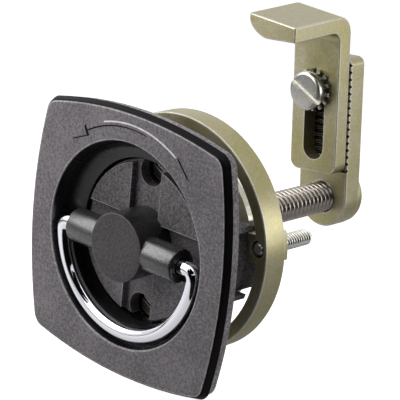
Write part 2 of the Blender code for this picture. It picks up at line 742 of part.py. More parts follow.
def make_bearing_plate():
    """Make the round plate on the posts, which carries the spindle's rear bearing."""
    profile = [
        (BORE_RADIUS, PLATE_FRONT),
        (BEARING_PLATE_RADIUS, PLATE_FRONT),
        (BEARING_PLATE_RADIUS, PLATE_BACK),
        (BORE_RADIUS, PLATE_BACK),
    ]
    piece = turned("bearing_plate", profile, FINE, closed=True)
    hole = CUP_SCREW_RADIUS + SEAT_GAP
    for place in fixing_places().values():
        cut(piece, rod("plate_hole", hole, PLATE_FRONT - OVERSHOOT, PLATE_BACK + OVERSHOOT, place))
    return finish_piece(piece, "bearing_plate", "yellow_zinc")


def make_cup_screw(side, place):
    """Make one of the slotted screws that hold the bearing plate to the cup's posts."""
    head_front = CUP_FLOOR
    head_back = CUP_FLOOR + CUP_SCREW_HEAD_HEIGHT
    profile = [
        (0.0, head_front),
        (CUP_SCREW_HEAD_RADIUS - SEAT_GAP, head_front),
        (CUP_SCREW_HEAD_RADIUS, head_front + SEAT_GAP),
        (CUP_SCREW_HEAD_RADIUS, head_back),
        (CUP_SCREW_RADIUS, head_back),
        (CUP_SCREW_RADIUS, PLATE_BACK + CUP_SCREW_TAIL - SEAT_GAP),
        (CUP_SCREW_RADIUS - SEAT_GAP, PLATE_BACK + CUP_SCREW_TAIL),
        (0.0, PLATE_BACK + CUP_SCREW_TAIL),
    ]
    piece = turned("cup_screw", profile, SMALL)
    slot_half = CUP_SCREW_SLOT_WIDTH / 2
    reach = CUP_SCREW_HEAD_RADIUS + OVERSHOOT
    low = (-reach, head_front - OVERSHOOT, -slot_half)
    high = (reach, head_front + CUP_SCREW_SLOT_DEPTH, slot_half)
    slot = box("cup_screw_slot", low, high)
    slot.rotation_euler = (0.0, math.radians(CUP_SCREW_SLOT_TURN), 0.0)
    cut(piece, slot)
    piece.location.x = place[0]
    piece.location.z = place[1]
    slot.location = (place[0], 0.0, place[1])
    return finish_piece(piece, "cup_screw_" + side, "bright_steel")


def make_retaining_clip():
    """Make the open clip that holds the spindle in the bearing plate."""
    inner = SPINDLE_RADIUS - CLIP_GROOVE_DEPTH + SEAT_GAP
    outer = inner + CLIP_WIDTH
    half_gap = CLIP_OPENING / 2
    outline = arc(outer, -90.0 + half_gap, 270.0 - half_gap, 30)
    outline += arc(inner, 270.0 - half_gap, -90.0 + half_gap, 20)
    front = PLATE_BACK + SEAT_GAP
    piece = flat_plate("retaining_clip", outline, front, front + CLIP_THICKNESS)
    return finish_piece(piece, "retaining_clip", "bright_steel")


def clamp_boss_outline(angle):
    """Return the section of a clamp ring boss, centred at an angle."""
    half = CLAMP_BOSS_WIDTH / 2
    inner = CLAMP_BOSS_INNER_RADIUS
    outer = CLAMP_RING_OUTER_RADIUS
    inner_angle = math.degrees(math.asin(half / inner))
    outer_angle = math.degrees(math.asin(half / outer))
    outline = arc(outer, angle - outer_angle, angle + outer_angle, 6)
    outline += arc(inner, angle + inner_angle, angle - inner_angle, 6)
    return outline


def jack_screw_places():
    """Return the (x, z) places of the clamp ring's two jack screws."""
    return {
        "right": polar(JACK_SCREW_CIRCLE_RADIUS, CLAMP_RING_TURN),
        "left": polar(JACK_SCREW_CIRCLE_RADIUS, CLAMP_RING_TURN + 180.0),
    }


def make_clamp_ring():
    """Make the clamp ring with the two threaded bosses for its jack screws."""
    back = CLAMP_RING_FRONT + CLAMP_RING_THICKNESS
    edge = CLAMP_RING_EDGE_ROUND
    outer = CLAMP_RING_OUTER_RADIUS
    profile = [
        (CLAMP_RING_INNER_RADIUS, CLAMP_RING_FRONT),
        (outer - edge, CLAMP_RING_FRONT),
        (outer, CLAMP_RING_FRONT + edge),
        (outer, back - edge),
        (outer - edge, back),
        (CLAMP_RING_INNER_RADIUS, back),
    ]
    piece = turned("clamp_ring", profile, FINE, closed=True)
    for angle in (CLAMP_RING_TURN, CLAMP_RING_TURN + 180.0):
        boss = flat_plate("boss", clamp_boss_outline(angle), CLAMP_RING_FRONT + edge, back + CLAMP_BOSS_PROUD)
        join(piece, boss)
    hole = JACK_SCREW_RADIUS + SEAT_GAP
    for place in jack_screw_places().values():
        cut(piece, rod("jack_hole", hole, CLAMP_RING_FRONT - OVERSHOOT, back + 2 * OVERSHOOT, place))
    return finish_piece(piece, "clamp_ring", "yellow_zinc")


def make_jack_screw(side, place):
    """Make one of the headless screws that press the panel away from the clamp ring."""
    front = CLAMP_RING_FRONT + JACK_SCREW_SINK
    back = front + JACK_SCREW_LENGTH
    radius = JACK_SCREW_RADIUS
    dome = JACK_SCREW_TIP_ROUND
    chamfer = JACK_SCREW_CHAMFER
    profile = [(0.0, front), (radius - chamfer, front), (radius, front + chamfer)]
    for i in range(5):
        turn = math.radians(90.0 * i / 4)
        profile.append((radius - dome + dome * math.cos(turn), back - dome + dome * math.sin(turn)))
    profile.append((0.0, back))
    piece = turned("jack_screw", profile, SMALL)
    slot_half = JACK_SCREW_SLOT_WIDTH / 2
    reach = radius + OVERSHOOT
    low = (-reach, back - JACK_SCREW_SLOT_DEPTH, -slot_half)
    high = (reach, back + OVERSHOOT, slot_half)
    slot = box("jack_screw_slot", low, high)
    cut(piece, slot)
    piece.location.x = place[0]
    piece.location.z = place[1]
    slot.location = (place[0], 0.0, place[1])
    return finish_piece(piece, "jack_screw_" + side, "bright_steel")


def arm_outline():
    """Return the cam arm's outline: a round foot about the spindle and a straight bar up."""
    half = ARM_WIDTH / 2
    top_round = ARM_TOP_ROUND
    outline = arc(half, 180.0, 360.0, 18)
    outline += arc(top_round, 0.0, 90.0, 4, (half - top_round, ARM_TOP - top_round))
    outline += arc(top_round, 90.0, 180.0, 4, (-half + top_round, ARM_TOP - top_round))
    return outline


def serration_cutter():
    """Return the row of V grooves across the arm's front, as one saw-toothed bar."""
    mouth = SERRATION_WIDTH / 2
    front = ARM_FRONT - OVERSHOOT
    skin = ARM_FRONT - SERRATION_LAND
    outline = [(front, SERRATION_FIRST - SERRATION_PITCH), (skin, SERRATION_FIRST - SERRATION_PITCH)]
    for index in range(SERRATION_COUNT):
        height = SERRATION_FIRST + index * SERRATION_PITCH
        outline.append((skin, height - mouth))
        outline.append((ARM_FRONT + SERRATION_DEPTH, height))
        outline.append((skin, height + mouth))
    top = SERRATION_FIRST + SERRATION_COUNT * SERRATION_PITCH
    outline.append((skin, top))
    outline.append((front, top))
    return side_plate("serrations", outline, ARM_WIDTH / 2 + OVERSHOOT)


def side_plate(name, outline, half_width):
    """Extrude an outline of (depth, height) points along X, to both sides."""
    side_on = (math.radians(90.0), 0.0, math.radians(90.0))
    piece = flat_plate(name, outline, -half_width, half_width, side_on)
    piece.location = (0.0, 0.0, 0.0)
    return piece


def make_cam_arm():
    """Make the cam arm with its boss on the spindle and its serrated front."""
    piece = flat_plate("cam_arm", arm_outline(), ARM_FRONT, ARM_FRONT + ARM_THICKNESS)
    boss_radius = ARM_WIDTH / 2 - ARM_BOSS_STEP
    boss = [
        (0.0, ARM_FRONT + ARM_THICKNESS / 2),
        (boss_radius, ARM_FRONT + ARM_THICKNESS / 2),
        (boss_radius, ARM_BOSS_BACK - SPINDLE_END_CHAMFER),
        (boss_radius - SPINDLE_END_CHAMFER, ARM_BOSS_BACK),
        (0.0, ARM_BOSS_BACK),
    ]
    join(piece, turned("arm_boss", boss, MEDIUM))
    cut(piece, serration_cutter())
    cut(piece, rod("arm_bore", BORE_RADIUS, ARM_FRONT - OVERSHOOT, ARM_BOSS_BACK + OVERSHOOT, segments=MEDIUM))
    hole = CAM_SCREW_RADIUS + SEAT_GAP
    back = ARM_FRONT + ARM_THICKNESS + OVERSHOOT
    cut(piece, rod("cam_screw_hole", hole, ARM_FRONT - OVERSHOOT, back, (0.0, CAM_SCREW_HEIGHT)))
    return finish_piece(piece, "cam_arm", "yellow_zinc")


def hook_side_outline():
    """Return the hook bar's outline from the side: a bar with a leg towards the panel."""
    tip = HOOK_FRONT - HOOK_REACH
    under = HOOK_TOP - HOOK_LEG_THICKNESS
    outer = HOOK_OUTER_ROUND
    inner = HOOK_INNER_ROUND
    outline = [(HOOK_FRONT, HOOK_BOTTOM), (HOOK_BACK, HOOK_BOTTOM)]
    outline += arc(outer, 0.0, 90.0, 6, (HOOK_BACK - outer, HOOK_TOP - outer))
    outline += [(tip, HOOK_TOP), (tip, under)]
    outline += arc(inner, 90.0, 0.0, 5, (HOOK_FRONT - inner, under - inner))
    return outline


def slot_outline():
    """Return the long slot that lets the hook bar slide on the cam screw."""
    top = CAM_SCREW_HEIGHT + SLOT_DOWN_TRAVEL
    bottom = CAM_SCREW_HEIGHT - SLOT_UP_TRAVEL
    outline = arc(SLOT_HALF_WIDTH, 0.0, 180.0, 10, (0.0, top))
    outline += arc(SLOT_HALF_WIDTH, 180.0, 360.0, 10, (0.0, bottom))
    return outline


def low_corner_outline(corner, side, width, height):
    """Return the waste outside a lower corner that is rounded over a width and a height."""
    centre = (corner[0] - side * width, corner[1] + height)
    outline = []
    for x, z in arc(1.0, 0.0, -90.0, 6):
        outline.append((centre[0] + side * width * x, centre[1] + height * z))
    outline.append((centre[0], corner[1] - OVERSHOOT))
    outline.append((corner[0] + side * OVERSHOOT, corner[1] - OVERSHOOT))
    outline.append((corner[0] + side * OVERSHOOT, centre[1]))
    return outline


def make_hook_bar():
    """Make the hook bar: an angled bar with a long slot, which slides on the cam arm."""
    half = HOOK_WIDTH / 2
    piece = side_plate("hook_bar", hook_side_outline(), half)
    front = HOOK_FRONT - OVERSHOOT
    back = HOOK_BACK + OVERSHOOT
    for side in (-1, 1):
        waste = low_corner_outline((side * half, HOOK_BOTTOM), side, HOOK_FOOT_ROUND, HOOK_FOOT_ROUND)
        cut(piece, flat_plate("foot_corner", waste, front, back))
    under = HOOK_TOP - HOOK_LEG_THICKNESS
    waste = low_corner_outline((-half, under), -1, HOOK_LEAD_WIDTH, HOOK_LEAD_HEIGHT)
    lead_start = HOOK_FRONT - HOOK_REACH - OVERSHOOT
    lead_end = HOOK_FRONT - HOOK_INNER_ROUND - SEAT_GAP
    cut(piece, flat_plate("lead_corner", waste, lead_start, lead_end))
    round_edges(piece, HOOK_EDGE_ROUND, 50.0)
    cut(piece, flat_plate("slot", slot_outline(), front, back))
    return finish_piece(piece, "hook_bar", "yellow_zinc")


def make_star_washer():
    """Make the external-tooth washer under the cam screw's head."""
    root = STAR_WASHER_RADIUS - STAR_WASHER_TOOTH
    step = 360.0 / STAR_WASHER_TEETH
    outline = []
    for index in range(STAR_WASHER_TEETH):
        start = index * step
        outline.append(polar(root, start))
        outline.append(polar(STAR_WASHER_RADIUS, start + 0.18 * step))
        outline.append(polar(STAR_WASHER_RADIUS, start + 0.52 * step))
        outline.append(polar(root, start + 0.70 * step))
    hole = arc(CAM_SCREW_RADIUS + SEAT_GAP, 0.0, 360.0, SMALL)[:-1]
    back = HOOK_FRONT - SEAT_GAP
    piece = flat_plate("star_washer", outline, back - STAR_WASHER_THICKNESS, back, holes=(hole,))
    piece.location.z = CAM_SCREW_HEIGHT
    return finish_piece(piece, "star_washer", "bright_steel")


def make_cam_screw():
    """Make the slotted screw that clamps the hook bar on the arm."""
    head_back = HOOK_FRONT - STAR_WASHER_THICKNESS - 2 * SEAT_GAP
    head_front = head_back - CAM_SCREW_HEAD_HEIGHT
    radius = CAM_SCREW_HEAD_RADIUS
    crown = CAM_SCREW_HEAD_ROUND
    profile = [(0.0, head_front)]
    for i in range(5):
        turn = math.radians(90.0 - 90.0 * i / 4)
        profile.append((radius - crown + crown * math.cos(turn), head_front + crown - crown * math.sin(turn)))
    tail = ARM_FRONT + ARM_THICKNESS - SEAT_GAP
    profile += [
        (radius, head_back),
        (CAM_SCREW_RADIUS, head_back),
        (CAM_SCREW_RADIUS, tail - SEAT_GAP),
        (CAM_SCREW_RADIUS - SEAT_GAP, tail),
        (0.0, tail),
    ]
    piece = turned("cam_screw", profile, MEDIUM)
    piece.location.z = CAM_SCREW_HEIGHT
    half = CAM_SCREW_SLOT_WIDTH / 2
    low = (-radius - OVERSHOOT, head_front - OVERSHOOT, -half)
    high = (radius + OVERSHOOT, head_front + CAM_SCREW_SLOT_DEPTH, half)
    slot = box("cam_screw_slot", low, high)
    slot.location.z = CAM_SCREW_HEIGHT
    slot.rotation_euler = (0.0, math.radians(-CAM_SCREW_SLOT_TURN), 0.0)
    cut(piece, slot)
    return finish_piece(piece, "cam_screw", "bright_steel")


def hang(shape, axis):
    """Hang a shape on an axis where it stands, with the shapes that its Booleans use."""
    shape.parent = axis
    shape.matrix_parent_inverse = axis.matrix_world.inverted()
    for step in shape.modifiers:
        if step.type == "BOOLEAN":
            hang(step.object, axis)


def add_axis(name, place, pieces):
    """Add an empty on a joint's axis and hang the pieces that turn or slide there on it."""
    axis = bpy.data.objects.new(name, None)
    axis.location = place
    PARTS.objects.link(axis)
    bpy.context.view_layer.update()
    for piece in pieces:
        hang(piece, axis)
    return axis


def build_latch():
    """Make every piece of the latch and hang the moving ones on their axes."""
    make_bezel_cup()
    make_gasket()
    make_bearing_plate()
    for side, place in fixing_places().items():
        make_cup_screw(side, place)
    clamp = [make_clamp_ring()]
    for side, place in jack_screw_places().items():
        clamp.append(make_jack_screw(side, place))
    make_spindle_seal()
    turning = [make_handle(), make_spindle(), make_stop_cam(), make_retaining_clip()]
    arm = [make_cam_arm(), make_cam_screw(), make_star_washer()]
    add_axis("clamp_axis", (0.0, CLAMP_RING_FRONT, 0.0), clamp)
    hook_axis = add_axis("hook_axis", (0.0, HOOK_BACK, CAM_SCREW_HEIGHT), [make_hook_bar()])
    arm_axis = add_axis("arm_axis", (0.0, ARM_FRONT, 0.0), [*arm, hook_axis])
    ring_axis = add_axis("ring_axis", (0.0, BARREL_AXIS_DEPTH, 0.0), [make_pull_ring()])
    add_axis("turning_axis", (0.0, 0.0, 0.0), [*turning, arm_axis, ring_axis])
    arm_axis.rotation_euler.y = math.radians(-ARM_LEAN)


clear_scene()
PARTS = make_collection("flush_pull_latch")
HELPERS = make_collection("cutters")
build_latch()
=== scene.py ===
"""Looks of the flush pull latch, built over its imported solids.

X is to the right, Y points into the panel and Z is up. The origin is on the turning axis,
in the plane of the panel's front face. Sizes are in millimetres, apart from the properties,
the materials and the stage, which are in metres.
"""

import math

import bmesh
import bpy
from mathutils import Matrix, Vector


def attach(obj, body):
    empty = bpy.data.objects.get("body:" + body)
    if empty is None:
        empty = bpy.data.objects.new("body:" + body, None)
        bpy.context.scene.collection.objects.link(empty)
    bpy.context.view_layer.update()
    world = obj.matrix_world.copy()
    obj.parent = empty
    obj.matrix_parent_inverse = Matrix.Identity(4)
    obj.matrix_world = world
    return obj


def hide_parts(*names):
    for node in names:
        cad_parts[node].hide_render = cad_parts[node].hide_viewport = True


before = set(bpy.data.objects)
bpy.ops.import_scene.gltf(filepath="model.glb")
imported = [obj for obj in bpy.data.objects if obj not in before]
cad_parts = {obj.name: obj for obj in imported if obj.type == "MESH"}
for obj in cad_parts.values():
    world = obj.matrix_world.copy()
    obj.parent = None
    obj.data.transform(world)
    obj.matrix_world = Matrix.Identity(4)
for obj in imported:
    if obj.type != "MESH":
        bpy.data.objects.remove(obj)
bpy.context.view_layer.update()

bl_info = {
    "name": "Flush Pull Latch",
    "version": (1, 0, 0),
    "blender": (4, 5, 0),
    "location": "View3D > Sidebar > Flush Latch",
    "description": "Builds the visible pieces and finishes of a flush pull latch",
    "category": "Add Mesh",
}

MM = 0.001
AXIS_X = Vector((1.0, 0.0, 0.0))
AXIS_Y = Vector((0.0, 1.0, 0.0))
FACING_Y = Matrix.Rotation(math.radians(90.0), 4, "X")

# Depths along Y of the faces that pieces share
FACE = -5.4
BARREL_DEPTH = -3.2
FLANGE_BACK = -2.85
GASKET_FRONT = -2.75
PAD_FRONT = 1.7
WEB_FRONT = 3.7
DISC_BACK = 6.9
CUP_FLOOR = 7.2
CUP_BACK = 10.2
HOOK_FRONT = 73.6
HOOK_BACK = 78.6
ARM_FRONT = 78.9

# Radii and half widths that pieces share
BEZEL_SIDE_RADIUS = 135.0
BEZEL_CORNER_RADIUS = 6.0
DISH_MARGIN = 1.6
PILOT_RADIUS = 29.7
BORE_RADIUS = 5.1
TONGUE_RADIUS = 27.0
TONGUE_INNER_RADIUS = 23.9
EAR_HALF_HEIGHT = 10.6
TONGUE_HALF_HEIGHT = 9.1
CORE_RADIUS = 4.15
SPINDLE_RADIUS = 4.76
ARM_HALF_WIDTH = 9.2
HOOK_HALF_WIDTH = 8.8

# Places of the fastenings
ACCESS_HEIGHT = 19.8
JACK_RADIUS = 30.9
CLAMP_TURNS = {"right": 8.3, "left": 188.3}
SCREW_HEIGHT = 33.7
SCREW_ASIDE = -0.35

# The raised turning arrow on the face
ARROW_RISE = 0.3
ARROW_FOOT = 0.1
ARROW_HALF_SPAN = 30.0
ARROW_BAND = (32.65, 34.55)
ARROW_BAND_TOP = (33.25, 34.0)


class LatchSizes(bpy.types.PropertyGroup):
    """Sizes of the latch that someone may want to change"""

    bezel_width: bpy.props.FloatProperty(
        name="Bezel Width", description="Width of the square bezel across its bowed sides",
        default=0.0765, unit="LENGTH",
    )
    dish_radius: bpy.props.FloatProperty(
        name="Dish Radius", description="Radius of the dish at the bezel's face",
        default=0.029, unit="LENGTH",
    )
    ring_bar_radius: bpy.props.FloatProperty(
        name="Ring Bar Radius", description="Radius of the pull ring's bar", default=0.0022, unit="LENGTH"
    )
    thread_pitch: bpy.props.FloatProperty(
        name="Spindle Pitch", description="Pitch of the spindle's thread", default=0.0018, unit="LENGTH"
    )
    arm_lean: bpy.props.FloatProperty(
        name="Arm Lean", description="Angle at which the cam arm is set on the spindle",
        default=math.radians(5.14), subtype="ANGLE",
    )


class LatchColours(bpy.types.PropertyGroup):
    """Colours of the latch's finishes"""

    plastic: bpy.props.FloatVectorProperty(
        name="Plastic", description="Colour of the grained moulding",
        default=(0.115, 0.105, 0.112), subtype="COLOR",
    )
    chromate: bpy.props.FloatVectorProperty(
        name="Chromate", description="Colour of the yellow chromate over zinc",
        default=(0.34, 0.31, 0.152), subtype="COLOR",
    )
    steel: bpy.props.FloatVectorProperty(
        name="Steel", description="Colour of the bright steel screws",
        default=(0.41, 0.40, 0.37), subtype="COLOR",
    )


# Node groups and materials


def feed(tree, socket, value):
    """Link an input to another node's output, or give it a plain value."""
    if isinstance(value, bpy.types.NodeSocket):
        tree.links.new(value, socket)
    else:
        socket.default_value = value


def add_node(tree, kind, *inputs, **settings):
    """Add a shader node, set its settings or named inputs, and feed its inputs in their order."""
    node = tree.nodes.new("ShaderNode" + kind)
    node.location = (200.0 * len(tree.nodes) - 2400.0, -300.0)
    for key, value in settings.items():
        if hasattr(node, key):
            setattr(node, key, value)
        else:
            feed(tree, node.inputs[key.replace("_", " ")], value)
    for socket, value in zip(node.inputs, inputs):
        feed(tree, socket, value)
    return node


def value_of(tree, kind, *inputs, output=0, **settings):
    """Add a shader node and return one of its outputs."""
    return add_node(tree, kind, *inputs, **settings).outputs[output]


def mix_colours(tree, share, first, second):
    """Mix two colours by a share and return the result."""
    node = add_node(tree, "Mix", share, data_type="RGBA")
    feed(tree, node.inputs[6], first)
    feed(tree, node.inputs[7], second)
    return node.outputs[2]


def start_group(name, inputs, outputs):
    """Start a shared node group and return its tree, what comes in and what it puts out."""
    tree = bpy.data.node_groups.new(name, "ShaderNodeTree")
    for label, default in inputs.items():
        kind = "NodeSocketFloat" if isinstance(default, float) else "NodeSocketColor"
        tree.interface.new_socket(name=label, in_out="INPUT", socket_type=kind).default_value = default
    for label in outputs:
        kind = "NodeSocketColor" if label == "Colour" else "NodeSocketFloat"
        tree.interface.new_socket(name=label, in_out="OUTPUT", socket_type=kind)
    return tree, tree.nodes.new("NodeGroupInput").outputs, tree.nodes.new("NodeGroupOutput").inputs


def moulded_grain_group():
    """Build the fine moulded grain: speckle for the colour, its gloss, and a height for the bump."""
    tree, start, end = start_group(
        "Moulded Grain", {"Colour": (0.1, 0.1, 0.1, 1.0), "Speckle": 0.35}, ("Colour", "Roughness", "Height")
    )
    place = value_of(tree, "TexCoord", output="Object")
    fine = value_of(tree, "TexNoise", place, Scale=2100.0, Detail=2.0, Roughness=0.6)
    broad = value_of(tree, "TexNoise", place, Scale=1100.0, Detail=3.0, Roughness=0.6)
    cloud = value_of(tree, "TexNoise", place, Scale=60.0, Detail=3.0, Roughness=0.6)
    both = value_of(tree, "Math", fine, broad, operation="ADD")
    grain = value_of(tree, "Math", cloud, 0.55, both, operation="MULTIPLY_ADD")
    spread = value_of(tree, "MapRange", grain, 1.10, 1.45)
    low = value_of(tree, "Math", 1.0, start["Speckle"], operation="SUBTRACT")
    high = value_of(tree, "Math", 1.0, start["Speckle"], operation="ADD")
    gain = value_of(tree, "MapRange", spread, 0.0, 1.0, low, high)
    feed(tree, end["Colour"], value_of(tree, "VectorMath", start["Colour"], operation="SCALE", Scale=gain))
    feed(tree, end["Roughness"], value_of(tree, "MapRange", spread, 0.0, 1.0, 0.62, 0.46))
    feed(tree, end["Height"], both)
    return tree


def edge_highlight_group():
    """Build the mask of rounded edges that get a painted highlight, paler than the faces between them."""
    tree, start, end = start_group("Edge Highlight", {"Reach": 0.0004, "Amount": 0.6}, ("Edge",))
    soft = value_of(tree, "Bevel", start["Reach"], samples=6)
    plain = value_of(tree, "NewGeometry", output="Normal")
    match = value_of(tree, "VectorMath", soft, plain, operation="DOT_PRODUCT", output="Value")
    mask = value_of(tree, "MapRange", match, 0.995, 0.86)
    feed(tree, end["Edge"], value_of(tree, "Math", mask, start["Amount"], operation="MULTIPLY"))
    return tree


def plating_group():
    """Build the drift in the colour and gloss of a dipped or plated coat."""
    tree, start, end = start_group(
        "Plating",
        {"Colour": (0.5, 0.5, 0.3, 1.0), "Drift": (0.6, 0.55, 0.45, 1.0), "Gloss": 0.32, "Dull": 0.48},
        ("Colour", "Roughness", "Height"),
    )
    place = value_of(tree, "TexCoord", output="Object")
    cloud = value_of(tree, "TexNoise", place, Scale=75.0, Detail=4.0, Roughness=0.6)
    grain = value_of(tree, "TexNoise", place, Scale=1500.0, Detail=3.0, Roughness=0.6)
    spread = value_of(tree, "MapRange", cloud, 0.34, 0.68)
    mixed = mix_colours(tree, spread, start["Colour"], start["Drift"])
    speck = value_of(tree, "MapRange", grain, 0.3, 0.7, 0.86, 1.14)
    feed(tree, end["Colour"], value_of(tree, "VectorMath", mixed, operation="SCALE", Scale=speck))
    rough = value_of(tree, "MapRange", spread, 0.0, 1.0, start["Gloss"], start["Dull"])
    feed(tree, end["Roughness"], rough)
    feed(tree, end["Height"], grain)
    return tree


GROUPS = {"Moulded Grain": moulded_grain_group, "Edge Highlight": edge_highlight_group, "Plating": plating_group}


def place_group(tree, name, **inputs):
    """Place a shared node group, built the first time, in a material and return its outputs."""
    node = tree.nodes.new("ShaderNodeGroup")
    node.node_tree = bpy.data.node_groups.get(name) or GROUPS[name]()
    for label, value in inputs.items():
        feed(tree, node.inputs[label], value)
    return node.outputs


def start_material(name, **settings):
    """Return a new material's tree and the inputs of its Principled shader, some of them set."""
    material = bpy.data.materials.new(name)
    material.use_nodes = True
    shader = material.node_tree.nodes["Principled BSDF"].inputs
    for label, value in settings.items():
        shader[label.replace("_", " ")].default_value = value
    return material.node_tree, shader


def add_bump(tree, shader, height, strength, distance):
    """Feed a height to the shader's normal."""
    feed(tree, shader["Normal"], value_of(tree, "Bump", Strength=strength, Distance=distance, Height=height))


def grained_material(name, colour, speckle=0.35, edge=0.25, reach=0.0005, sheen=0.35, smooth=0.0):
    """Make a grained moulding whose rounded edges get a slightly paler painted highlight."""
    tree, shader = start_material(name, Specular_IOR_Level=sheen)
    grain = place_group(tree, "Moulded Grain", Colour=(*colour, 1.0), Speckle=speckle)
    highlight_mask = place_group(tree, "Edge Highlight", Reach=reach, Amount=edge)["Edge"]
    # The pale grey mixed in along the edges is a painted highlight.
    feed(tree, shader["Base Color"], mix_colours(tree, highlight_mask, grain["Colour"], (0.36, 0.34, 0.35, 1.0)))
    feed(tree, shader["Roughness"], value_of(tree, "Math", grain["Roughness"], smooth, operation="SUBTRACT"))
    add_bump(tree, shader, grain["Height"], 0.35, 0.00006)


def polished_material(name, colour, roughness, sheen=0.4):
    """Make a smooth black moulding with a faint flow in its gloss."""
    tree, shader = start_material(name, Specular_IOR_Level=sheen)
    place = value_of(tree, "TexCoord", output="Object")
    flow = value_of(tree, "TexNoise", place, Scale=120.0, Detail=3.0, Roughness=0.55)
    rough = value_of(tree, "MapRange", flow, 0.0, 1.0, roughness * 0.7, roughness * 1.4)
    feed(tree, shader["Roughness"], rough)
    shade = value_of(tree, "MapRange", flow, 0.0, 1.0, 0.6, 1.5)
    feed(tree, shader["Base Color"], value_of(tree, "VectorMath", colour, operation="SCALE", Scale=shade))


def plated_material(name, colour, drift, gloss, dull, metallic, edge=0.5, reach=0.0005):
    """Make a plated metal whose colour drifts, with a bright painted highlight on its rounded edges."""
    tree, shader = start_material(name, Metallic=metallic)
    coat = place_group(tree, "Plating", Colour=(*colour, 1.0), Drift=(*drift, 1.0), Gloss=gloss, Dull=dull)
    highlight_mask = place_group(tree, "Edge Highlight", Reach=reach, Amount=edge)["Edge"]
    # The pale mix along the edges is a painted highlight.
    feed(tree, shader["Base Color"], mix_colours(tree, highlight_mask, coat["Colour"], (0.86, 0.84, 0.74, 1.0)))
    feed(tree, shader["Roughness"], coat["Roughness"])
    add_bump(tree, shader, coat["Height"], 0.12, 0.00004)


def chrome_material():
    """Make polished chrome with a trace of wiping marks in its gloss."""
    tree, shader = start_material("polished_chrome", Base_Color=(0.70, 0.69, 0.74, 1.0), Metallic=1.0)
    place = value_of(tree, "TexCoord", output="Object")
    marks = value_of(tree, "TexNoise", place, Scale=300.0, Detail=3.0)
    feed(tree, shader["Roughness"], value_of(tree, "MapRange", marks, 0.0, 1.0, 0.03, 0.09))


def make_finishes():
    """Make every finish of the latch. The edge setting of a finish is the strength of its painted highlight
    on rounded edges.
    """
    colours = bpy.context.scene.latch_colours
    plastic = Vector(colours.plastic)
    grained_material("grained_face", plastic, speckle=0.34, edge=0.55, sheen=0.25)
    grained_material("grained_handle", 0.80 * plastic, speckle=0.5, edge=0.6, reach=0.0004)
    grained_material("grained_hub", 0.34 * plastic, speckle=0.4, edge=0.6, reach=0.0004, sheen=0.25)
    # Finish of the barrel and the hub's sides, far darker than the handle they are moulded with: painted
    # shade on a glossier surface.
    grained_material("glossy_painted_shade", 0.12 * plastic, edge=0.2, sheen=0.85, smooth=0.22)
    grained_material("grained_gasket", 1.8 * plastic, speckle=0.5, edge=0.1)
    # Pale grey for the arrow's walls turned to the light and the pads' edges towards the barrel: painted
    # highlight.
    grained_material("painted_highlight_line", (0.50, 0.48, 0.49), speckle=0.15, edge=0.0)
    # Paler grey on the dish's rim chamfer, the face's rounded outer edge and the pads' rounded edges: painted
    # highlight.
    grained_material("painted_highlight_edge", 2.0 * plastic, edge=0.0)
    polished_material("polished_dish", (0.006, 0.006, 0.007), 0.26, 0.3)
    # Near-black for the bezel's side band and the arrow's walls turned from the light: painted shade.
    polished_material("painted_shade_side", (0.003, 0.003, 0.003), 0.35, 0.06)
    polished_material("soft_rubber", (0.012, 0.012, 0.012), 0.6)
    plated_material(
        "yellow_chromate", colours.chromate, (0.38, 0.345, 0.245), 0.30, 0.44, 0.8, edge=0.65, reach=0.0008
    )
    # Paler chromate for the rounded edges of the hook, the arm and the clamp ring: painted highlight.
    plated_material("painted_highlight_chromate", (0.46, 0.44, 0.35), (0.52, 0.50, 0.42), 0.36, 0.46, 0.7, edge=0.0)
    # Pale chromate for the bearing plate and the stop cam, far above the yellow chromate: partly a paler
    # plating and partly painted highlight lifting them out of their shade.
    plated_material("pale_plating_painted_highlight", (0.62, 0.59, 0.47), (0.68, 0.65, 0.54), 0.30, 0.42, 0.5)
    plated_material("bright_zinc", colours.steel, (0.46, 0.45, 0.42), 0.22, 0.34, 0.95)
    # Pale zinc for the jack screws and the star washer's tooth fronts: painted highlight and painted
    # reflection.
    plated_material("painted_highlight_zinc", (0.66, 0.65, 0.60), (0.72, 0.71, 0.67), 0.22, 0.34, 0.9)
    # Near-black zinc for the cup screws in their notches, the star washer and the serrations behind the
    # hook's slot: painted shade, with a strong painted highlight on its edges.
    plated_material(
        "painted_shade_zinc", (0.035, 0.033, 0.03), (0.06, 0.055, 0.05), 0.30, 0.45, 0.9, edge=0.9, reach=0.0006
    )
    plated_material("rolled_steel", (0.34, 0.303, 0.266), (0.38, 0.35, 0.32), 0.22, 0.34, 1.0, edge=0.2)
    chrome_material()


def finish(name):
    """Return a finish by its name, making all the finishes the first time."""
    if "grained_face" not in bpy.data.materials:
        make_finishes()
    return bpy.data.materials[name]


# Mesh helpers


def round_point(radius, angle):
    """Return the (x, z) point at a radius and an angle round the Y axis."""
    turn = math.radians(angle)
    return radius * math.cos(turn), radius * math.sin(turn)


def polar(radius, angle, depth):
    """Return the point at a radius and an angle round the Y axis, in metres."""
    x, z = round_point(radius, angle)
    return Vector((x, depth, z)) * MM


def rise(radius, height):
    """Return the angle, in degrees, at which a circle reaches a height."""
    return math.degrees(math.asin(height / radius))


